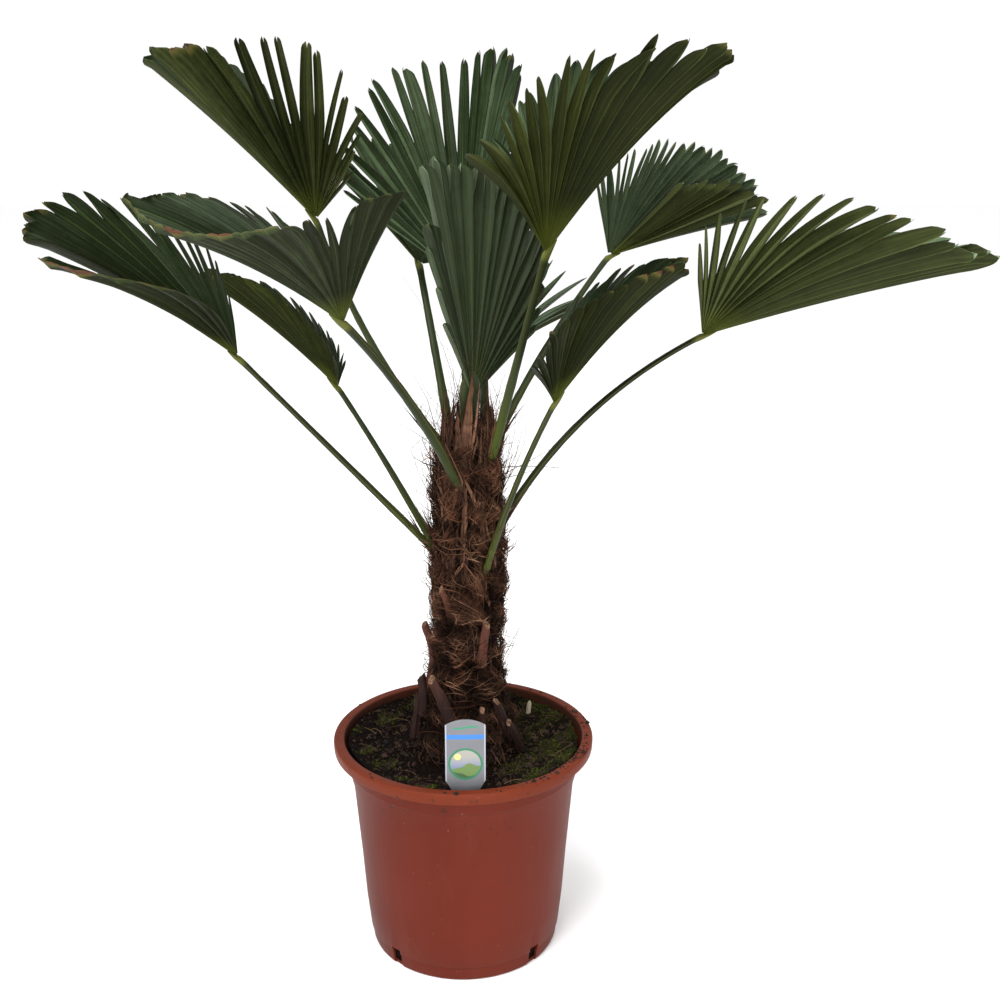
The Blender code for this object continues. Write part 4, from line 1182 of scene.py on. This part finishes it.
def stumps(material, hair):
    """Cut stalk bases, flattened, ridged and curved, with slanting pale cuts and torn hairs.

    A row is (azimuth, height, distance off the trunk) at the foot and again at the tip, then
    bow, width, thickness as a share of it, tone and how pale the cut is.
    """
    rows = (
        (184, 0.346, 0.004, 194, 0.424, 0.013, -0.0070, 0.0085, 1.00, 0.70, 0.35),
        (190, 0.316, 0.002, 185, 0.353, 0.013, 0.0000, 0.0100, 1.10, 0.20, 0.30),
        (192, 0.288, 0.002, 182, 0.329, 0.013, 0.0010, 0.0095, 1.10, 0.35, 0.80),
        (252, 0.318, 0.002, 222, 0.363, 0.015, 0.0010, 0.0140, 0.60, 0.35, 0.90),
        (296, 0.390, -0.002, 298, 0.434, 0.008, 0.0000, 0.0105, 0.60, 0.95, 0.90),
        (236, 0.452, -0.003, 229, 0.477, 0.008, 0.0000, 0.0080, 0.60, 0.90, 0.95),
        (330, 0.296, 0.002, 306, 0.338, 0.014, 0.0000, 0.0120, 0.65, 0.20, 0.75),
        (291, 0.303, 0.002, 288, 0.330, 0.011, 0.0000, 0.0085, 0.70, 0.50, 0.75),
        (336, 0.276, 0.004, 318, 0.309, 0.016, 0.0010, 0.0105, 0.70, 0.20, 0.80),
    )
    knots, sides = 16, 22
    share = np.concatenate([np.linspace(0.0, 1.0, knots - 3), [1.0, 1.0, 1.0]])
    closing = np.concatenate([np.ones(knots - 3), [0.94, 0.60, 0.05]])
    turns = 2 * np.pi * np.arange(sides) / sides
    hairs = []
    for number, row in enumerate(rows, 1):
        foot, low, near, tip, high, far, bow, width, flat, tone, pale = row
        angle = np.radians(foot + share * (tip - foot))
        height = low - 0.012 + share * (high - low + 0.012)
        away = near + (far - near) * share**1.5 + bow * np.sin(np.pi * share)
        path = round_trunk(angle, height, away)
        path[-3:] += np.array([0.0001, 0.0002, 0.0003])[:, None] * unit(path[-4] - path[-5])
        radii = width / 2 * (1.25 - 0.25 * share**0.7 - 0.22 * share**5) * closing
        outward = np.stack([np.cos(angle), np.sin(angle), 0 * angle], axis=-1)
        points, faces = tubes(path[None], radii[None], sides, outward[None], flat)
        points = points.reshape(len(share), sides, 3)
        ridge = 1.0 + 0.07 * rng.normal(size=sides) + 0.03 * rng.normal(size=(len(share), sides))
        points = path[:, None] + (points - path[:, None]) * ridge[..., None]
        slant = rng.uniform(0.45, 0.75) * np.cos(turns + 1.57 + rng.normal(0.0, 0.35))
        lean = np.clip((share - 0.75) / 0.25, 0, 1)[:, None] * slant * radii[:, None] * 1.6
        hollow = -0.0014 * np.clip(0.9 - closing, 0.0, 1.0)
        points[..., 2] += lean + hollow[:, None] + 0.0003 * rng.normal(size=lean.shape)
        cut = pale * np.repeat((closing < 1.0).astype(float), sides)
        marks = {"cut": cut, "tone": np.full(len(cut), tone)}
        points = points.reshape(-1, 3)
        mesh_piece(f"stump_{number:02d}", points, faces, marks, material, "stub", f"stub_{number:02d}")
        for _ in range(34):
            start = points[rng.integers(0, len(share) - 3) * sides + rng.integers(0, sides)]
            heading = unit(rng.normal(0.0, 0.6, 3) + np.array([0.0, 0.0, 0.5]))
            size = rng.gamma(2.5, 0.0045)
            along = np.linspace(0.0, 1.0, 7)[:, None]
            hairs.append(start + size * (along * heading + along**2 * rng.normal(0.0, 0.45, 3)))
    hairs = np.array(hairs)
    radii = 0.00028 * (1.0 - 0.7 * np.linspace(0.0, 1.0, 7)) * np.ones((len(hairs), 1))
    points, faces = tubes(hairs, radii, 3)
    tone = np.repeat(rng.uniform(0.2, 1.0, len(hairs)), 21)
    mesh_piece("stump_hairs", points, faces, {"tone": tone}, hair, "trunk")


def stick(material):
    foot = np.array([0.084, 0.082, SOIL_LEVEL + 0.001])
    share = np.linspace(0, 1, 8)
    path = foot + share[:, None] * np.array([0.002, -0.001, 0.0232])
    radii = 0.0030 * np.array([1, 1, 1.05, 0.95, 1, 0.95, 0.85, 0.4])
    points, faces = tubes(path[None], radii[None], 9)
    points = points + rng.normal(0, 0.00015, points.shape)
    mesh_piece("pale_stick", points, faces, {"tone": np.full(len(points), 0.7)}, material, "stub", "stub_10")


# Pot, soil and label
def turned_mesh(name, outline, steps):
    """A closed body of revolution from (radius, height) points; the ends lie on the axis."""
    inner = outline[1:-1]
    turn = 2 * np.pi * np.arange(steps) / steps
    points = [np.array([[0.0, 0.0, outline[0][1]], [0.0, 0.0, outline[-1][1]]])]
    for radius, height in inner:
        points.append(np.stack([radius * np.cos(turn), radius * np.sin(turn), np.full(steps, height)], 1))
    faces = []
    for row in range(len(inner) - 1):
        for side in range(steps):
            after = (side + 1) % steps
            a, b = 2 + row * steps, 2 + (row + 1) * steps
            faces.append((a + side, b + side, b + after, a + after))
    last = 2 + (len(inner) - 1) * steps
    for side in range(steps):
        after = (side + 1) % steps
        faces.append((0, 2 + side, 2 + after))
        faces.append((1, last + after, last + side))
    return new_mesh(name, np.concatenate(points), faces, {})


def rounded(corner_a, corner, corner_b, radius, steps=4):
    """Points that round a corner of an outline."""
    a, c, b = (np.array(p, float) for p in (corner_a, corner, corner_b))
    start, end = c + unit(a - c) * radius, c + unit(b - c) * radius
    share = np.linspace(0, 1, steps)[:, None]
    curve = (1 - share) ** 2 * start + 2 * share * (1 - share) * c + share**2 * end
    return [tuple(p) for p in curve]


def pot_piece(material):
    """The pot's wall with a rounded rim and collar, and four drain slots cut through."""
    lip, collar = POT_HEIGHT - RIM_DEPTH, POT_HEIGHT - COLLAR_DEPTH
    rim_in, rim_out = (RIM_INNER_RADIUS, POT_HEIGHT), (RIM_RADIUS, POT_HEIGHT)
    under = (RIM_RADIUS - 0.0006, lip)
    neck = (COLLAR_RADIUS + COLLAR_STEP, lip)
    inner = [(0.0, WALL), (BASE_RADIUS, WALL)]
    inner += [(radius - WALL, level) for radius, level in reversed(SIDE_OUTLINE)]
    inner += [(COLLAR_RADIUS - WALL - COLLAR_STEP / 2, collar), (RIM_INNER_RADIUS - 0.0015, lip)]
    outer = rounded(inner[-1], rim_in, rim_out, 0.0022) + rounded(rim_in, rim_out, under, 0.0040, 6)
    outer += rounded(rim_out, under, neck, 0.0030) + [neck]
    outer += [(COLLAR_RADIUS + 0.0007, lip - 0.004), (COLLAR_RADIUS, collar + COLLAR_STEP)]
    outer += rounded(outer[-1], (COLLAR_RADIUS - 0.0003, collar), (SIDE_OUTLINE[0][0], collar - 0.004), 0.0012)
    outer += list(SIDE_OUTLINE)
    outer += [(0.1196, 0.0192), (0.1186, 0.0186), (0.1170, 0.0045)]
    outer += rounded((0.1170, 0.0045), (0.1155, 0.0), (0.10, 0.0), 0.0025) + [(0.0, 0.0)]
    mesh = turned_mesh("pot_shell", inner + outer, POT_STEPS)
    shell = bpy.data.objects.new("pot_uncut", mesh)
    bpy.context.scene.collection.objects.link(shell)
    cutters = []
    for quarter in range(4):
        turn = math.radians(45 + 90 * quarter)
        half = DRAIN_WIDTH / 2
        corners = np.array([[x, y, z] for x in (-0.007, 0.007) for y in (-half, half) for z in (-0.001, DRAIN_HEIGHT)])
        corners[:, 0] += BASE_RADIUS + 0.007
        spin = np.array([[math.cos(turn), -math.sin(turn), 0], [math.sin(turn), math.cos(turn), 0], [0, 0, 1]])
        faces = [(0, 1, 3, 2), (4, 6, 7, 5), (0, 4, 5, 1), (2, 3, 7, 6), (0, 2, 6, 4), (1, 5, 7, 3)]
        cutter = bpy.data.objects.new("drain", new_mesh("drain", corners @ spin.T, faces, {}, False))
        bpy.context.scene.collection.objects.link(cutter)
        cut = shell.modifiers.new("drain", "BOOLEAN")
        cut.operation, cut.solver, cut.object = "DIFFERENCE", "EXACT", cutter
        cutters.append(cutter)
    view = bpy.context.evaluated_depsgraph_get()
    done = bpy.data.meshes.new_from_object(shell.evaluated_get(view))
    done.set_sharp_from_angle(angle=math.radians(32))
    for extra in (*cutters, shell):
        bpy.data.objects.remove(extra, do_unlink=True)
    return put_piece("pot_shell", done, material, "pot", "pot")


def moss_cover(x, y):
    """How much of the ground is mossy: most on the right, in patches elsewhere."""
    patch = np.sin(x * 61 + 1.7) * np.sin(y * 53 + x * 25) + 0.7 * np.sin(x * 118 - y * 97 + 0.6)
    patch = patch + 0.5 * np.sin(x * 260 + y * 190) * np.sin(y * 240 - x * 70)
    right = np.clip((x - 0.040) / 0.035, 0, 1) * (0.50 + 0.50 * patch)
    left = 1.5 * np.clip(patch - 0.55, 0, 1)
    rim = np.clip((np.hypot(x, y) - 0.06) / 0.04, 0, 1)
    return np.clip(np.maximum(left, right), 0, 1) * rim


def soil_height(x, y):
    away = np.hypot(x, y) / SOIL_EDGE
    swell = 0.0022 * np.sin(31 * x + 9 * y) + 0.0016 * np.sin(52 * y - 17 * x + 1)
    bank = 0.0120 * np.clip((away - 0.62) / 0.38, 0, 1) ** 1.5
    return 0.2562 + 0.0035 * (1 - away**2) + swell + bank


def soil_piece(material):
    """The compost's uneven surface."""
    rings, sides = 90, 220
    points, cover = [], []
    turn = 2 * np.pi * np.arange(sides) / sides
    grain = relief(rings + 1, sides, 3, 3) * 0.0010 + relief(rings + 1, sides, 9, 9) * 0.0012
    for ring in range(rings + 1):
        radius = max(SOIL_EDGE * ring / rings, 0.0004)
        x, y = radius * np.cos(turn), radius * np.sin(turn)
        points.append(np.stack([x, y, soil_height(x, y) + grain[ring]], 1))
        cover.append(moss_cover(x, y))
    points.append(np.stack([0.97 * SOIL_EDGE * np.cos(turn), 0.97 * SOIL_EDGE * np.sin(turn), np.full(sides, 0.238)], 1))
    cover.append(np.zeros(sides))
    faces = []
    for ring in range(rings + 1):
        for side in range(sides):
            after = (side + 1) % sides
            a, b = ring * sides + side, ring * sides + after
            faces.append((a, a + sides, b + sides, b))
    faces.append(tuple((rings + 1) * sides + side for side in range(sides - 1, -1, -1)))
    faces.append(tuple(range(sides)))
    marks = {"cover": np.concatenate(cover)}
    return mesh_piece("soil_surface", np.concatenate(points), faces, marks, material, "soil")


def tuft_object(name, blades, length, width, splay):
    """A small tuft of blades round its root, to be scattered."""
    knots = 4
    share = np.linspace(0, 1, knots)
    paths, radii = [], []
    for _ in range(blades):
        turn, lean = rng.uniform(0, 6.28), rng.uniform(0.2, 1.0) * splay
        size = length * rng.uniform(0.6, 1.2)
        x = size * lean * share * np.cos(turn)
        y = size * lean * share * np.sin(turn)
        z = size * (share - 0.35 * lean * share**2) - 0.1 * length
        paths.append(np.stack([x, y, z], 1))
        radii.append(width / 2 * (1.0 - 0.85 * share))
    points, faces = tubes(np.array(paths), np.array(radii), 3)
    tuft = bpy.data.objects.new(name, new_mesh(name, points, faces, {}))
    bpy.context.scene.collection.objects.link(tuft)
    return tuft


def litter(straw_finish, crumb_finish):
    """Dry straws and roots on the soil, loose crumbs, and crumbs on the rim's right side."""
    count, knots = 90, 7
    share = np.linspace(0, 1, knots)[None, :]
    turn, spot = rng.uniform(0, 6.28, (count, 1)), np.sqrt(rng.uniform(0.30, 0.93, (count, 1))) * SOIL_EDGE
    way, size = rng.uniform(0, 6.28, (count, 1)), rng.gamma(2.5, 0.006, (count, 1))
    bend = rng.normal(0, 1.2, (count, 1))
    x = spot * np.cos(turn) + size * (share - 0.5) * np.cos(way + bend * share)
    y = spot * np.sin(turn) + size * (share - 0.5) * np.sin(way + bend * share)
    inside = np.minimum(1.0, 0.136 / np.maximum(np.hypot(x, y), 0.01))
    x, y = x * inside, y * inside
    z = soil_height(x, y) + 0.0012 + rng.exponential(0.0022, (count, 1)) * np.sin(np.pi * share)
    radii = rng.uniform(0.00016, 0.00042, (count, 1)) * (1 - 0.5 * share)
    points, faces = tubes(np.stack([x, y, z], -1), radii, 4)
    tone = np.repeat(rng.uniform(0, 1, count) ** 1.5, knots * 4)
    mesh_piece("straw", points, faces, {"tone": tone}, straw_finish, "soil")
    count = 2600
    turn, spot = rng.uniform(0, 6.28, count), np.sqrt(rng.uniform(0.18, 0.97, count)) * SOIL_EDGE
    x, y = spot * np.cos(turn), spot * np.sin(turn)
    ground = np.stack([x, y, soil_height(x, y) + 0.0006], 1)
    foot = round_trunk(rng.uniform(0, 6.28, 700), 0.262 + rng.exponential(0.014, 700), 0.001)
    ground = np.concatenate([ground, foot])
    sizes = rng.gamma(2.0, 0.0007, len(ground))
    count = 170
    turn = np.radians(np.concatenate([rng.normal(-30, 30, 130), rng.uniform(0, 360, 40)]))
    spot = rng.uniform(RIM_INNER_RADIUS + 0.001, RIM_RADIUS - 0.002, count)
    rim = np.stack([spot * np.cos(turn), spot * np.sin(turn), np.full(count, POT_HEIGHT + 0.0002)], 1)
    places = np.concatenate([ground, rim])
    sizes = np.concatenate([sizes, rng.gamma(2.0, 0.00062, count)])
    points, faces = lumps(places, sizes)
    tone = np.repeat(rng.uniform(0, 1, len(places)), 6)
    mesh_piece("crumbs", points, faces, {"tone": tone}, crumb_finish, "soil")


def label_piece(material):
    """The care label: the part's card with a smooth arch and a slight bow."""
    half, stem = LABEL_WIDTH / 2, LABEL_STEM / 2
    sag = LABEL_TOP - LABEL_SHOULDER
    arch_radius = (half * half + sag * sag) / (2 * sag)
    centre = LABEL_TOP - arch_radius
    sweep = math.asin(half / arch_radius)
    low = LABEL_WAIST - LABEL_CHAMFER
    rows = [(stem, SOIL_LEVEL - 0.002), (stem, low - 0.006), (half - 0.0075, low), (half, LABEL_WAIST)]
    rows += [(half, LABEL_WAIST + step * 0.0068) for step in range(1, 10)] + [(half, LABEL_SHOULDER)]
    for step in range(1, 13):
        turn = sweep * (1 - step / 12) + 1e-3
        rows.append((arch_radius * math.sin(turn), centre + arch_radius * math.cos(turn)))
    columns = np.linspace(-1, 1, 13)
    points = []
    for side in (-0.5, 0.5):
        for wide, height in rows:
            x = LABEL_ASIDE + wide * columns
            y = -LABEL_FORWARD + side * LABEL_THICKNESS + 0.0008 * columns**2
            points.append(np.stack([x, y, np.full(13, height)], 1))
    faces = blade_faces(len(rows), 13)[:, ::-1]
    return mesh_piece("label_card", np.concatenate(points), faces, {}, material, "label", "label")


def stage():
    """A plain pale floor, soft light and the photograph's camera."""
    mesh = new_mesh("floor", [(-9, -7, 0), (9, -7, 0), (9, 11, 0), (-9, 11, 0)], [(0, 1, 2, 3)], {}, False)
    floor = bpy.data.objects.new("floor", mesh)
    bpy.context.scene.collection.objects.link(floor)
    s = Finish("floor_pale", 0.9, 0.1)
    floor.data.materials.append(s.finish((0.97, 0.97, 0.97)))
    world = bpy.data.worlds.new("soft_white")
    world.use_nodes = True
    world.node_tree.nodes["Background"].inputs["Color"].default_value = (1.0, 1.0, 1.0, 1.0)
    world.node_tree.nodes["Background"].inputs["Strength"].default_value = 0.63
    bpy.context.scene.world = world
    for name, place, size, power in (
        ("overhead", (-0.5, -0.9, 3.3), 1.6, 88.0),
        ("front", (-1.7, -2.5, 2.1), 1.4, 20.0),
        ("low", (0.5, -3.2, 0.5), 1.8, 40.0),
    ):
        light = bpy.data.lights.new(name, "AREA")
        light.size = size
        light.energy = power
        lamp = bpy.data.objects.new(name, light)
        lamp.location = place
        aim = Vector((0.0, 0.0, 0.6)) - Vector(place)
        lamp.rotation_euler = aim.to_track_quat("-Z", "Y").to_euler()
        bpy.context.scene.collection.objects.link(lamp)
    camera = bpy.data.cameras.new("camera")
    camera.lens = CAMERA_LENS
    camera.sensor_width = 36.0
    eye = bpy.data.objects.new("camera", camera)
    eye.location = CAMERA_PLACE
    eye.rotation_euler = (math.radians(90 - CAMERA_PITCH_DOWN), 0.0, math.radians(-CAMERA_YAW))
    bpy.context.scene.collection.objects.link(eye)
    bpy.context.scene.camera = eye
    bpy.context.scene.view_settings.view_transform = "Standard"
    bpy.context.scene.view_settings.exposure = 0.68


def dress_trunk(lines):
    fibre = fibre_finish("trunk_fibre", (0.0024, 0.0010, 0.0006), (0.130, 0.057, 0.031))
    light = fibre_finish("fibre_light", (0.024, 0.0110, 0.006), (0.290, 0.165, 0.100))
    hair = fibre_finish("stray_hair", (0.010, 0.005, 0.003), (0.140, 0.075, 0.048))
    core = trunk_core(core_finish())
    strands("fibre_low", 2300, 120, 0.300, 0.47, 62, 28, 50, (0.015, 0.050), 0.00034, 0.0011, 0.0032, fibre)
    strands("fibre_high", 2600, 120, 0.43, 0.655, 24, 18, 26, (0.020, 0.070), 0.00036, 0.0014, 0.0046, fibre)
    strands("fibre_cross", 1000, 80, 0.30, 0.64, 36, 22, 45, (0.022, 0.060), 0.00032, 0.0024, 0.0060, fibre)
    strands("fibre_pale", 1000, 170, 0.33, 0.65, 34, 26, 45, (0.014, 0.045), 0.00025, 0.0020, 0.0055, light)
    loose_hairs("hair_short", 1300, 0.31, 0.66, 0.013, 0.00030, 0.35, hair)
    loose_hairs("hair_long", 420, 0.34, 0.66, 0.036, 0.00044, 0.70, hair)
    loose_hairs("hair_crown", 210, 0.56, 0.665, 0.064, 0.00056, 0.85, hair)
    fuzz = tuft_object("fuzz_tuft", 3, 0.0065, 0.0005, 1.2)
    scatter("trunk_fuzz", core.data.copy(), fuzz, 20000.0, (0.5, 1.3), fibre, "trunk", 3)
    sheath = fibre_finish("dry_sheath", (0.012, 0.0045, 0.0026), (0.200, 0.100, 0.060))
    rows = (
        (325, 0.600, 332, 0.724, 0.0010, 0.0125, 0.40),
        (257, 0.590, 283, 0.730, 0.0020, 0.0170, 0.66),
        (242, 0.590, 246, 0.690, 0.0030, 0.0120, 0.60),
        (284, 0.560, 296, 0.668, 0.0010, 0.0110, 0.70),
        (262, 0.510, 268, 0.616, 0.0030, 0.0085, 0.85),
        (225, 0.560, 216, 0.676, 0.0020, 0.0130, 0.45),
        (205, 0.600, 200, 0.706, 0.0030, 0.0110, 0.40),
        (300, 0.500, 292, 0.580, 0.0020, 0.0100, 0.55),
        (236, 0.470, 246, 0.560, 0.0020, 0.0100, 0.50),
        (350, 0.590, 356, 0.690, 0.0020, 0.0130, 0.50),
        (30, 0.580, 40, 0.695, 0.0020, 0.0150, 0.55),
        (75, 0.590, 70, 0.715, 0.0030, 0.0150, 0.60),
        (120, 0.580, 112, 0.690, 0.0020, 0.0140, 0.50),
        (160, 0.560, 168, 0.680, 0.0030, 0.0130, 0.60),
    )
    dry_sheaths(rows, sheath, "sheath", "sheath_01", "sheath_02")
    slivers = [row[:6] for row in rows[:9]]
    strips("sheath_slivers", frayed(slivers, 3), sheath, "trunk")
    sleeves(lines, sheath, hair)
    count = 90
    foot = rng.uniform(0, 360, count)
    low = rng.uniform(0.44, 0.64, count)
    tall = np.minimum(low + rng.uniform(0.03, 0.09, count), 0.712)
    stand, wide = rng.exponential(0.004, count), rng.uniform(0.0014, 0.0052, count)
    strips("trunk_strips", tuple(zip(foot, low, foot + rng.normal(0, 26, count), tall, stand, wide)), sheath, "trunk")


def dress_soil():
    surface = soil_piece(soil_finish())
    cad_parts["soil"].data.materials.clear()
    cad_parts["soil"].data.materials.append(soil_finish())
    moss = tuft_object("moss_tuft", 5, 0.0030, 0.0010, 1.0)
    scatter("moss", surface.data.copy(), moss, 95000.0, (0.5, 1.5), moss_finish(), "soil", 5)
    straw = bark_bit_finish("dry_straw", (0.018, 0.010, 0.006), (0.16, 0.095, 0.045))
    crumb = bark_bit_finish("peat_crumb", (0.003, 0.0018, 0.0012), (0.030, 0.015, 0.009))
    litter(straw, crumb)


def dress_foot():
    """Fibres that run down over the flared foot of the trunk, into the soil."""
    fibre = fibre_finish("foot_fibre", (0.0120, 0.0056, 0.0036), (0.520, 0.260, 0.165))
    strands("fibre_foot", 750, 110, 0.262, 0.312, 26, 24, 30, (0.014, 0.042), 0.00036, 0.0012, 0.0020, fibre)


def main():
    stage()
    lines = leaves(blade_finish(), stalk_finish())
    dress_trunk(lines)
    stumps(stump_finish(), fibre_finish("stump_hair", (0.020, 0.009, 0.005), (0.170, 0.090, 0.052)))
    stick(bark_bit_finish("pale_wood", (0.22, 0.18, 0.13), (0.42, 0.36, 0.27)))
    pot_piece(pot_finish())
    label_piece(label_finish())
    dress_soil()
    dress_foot()


main()
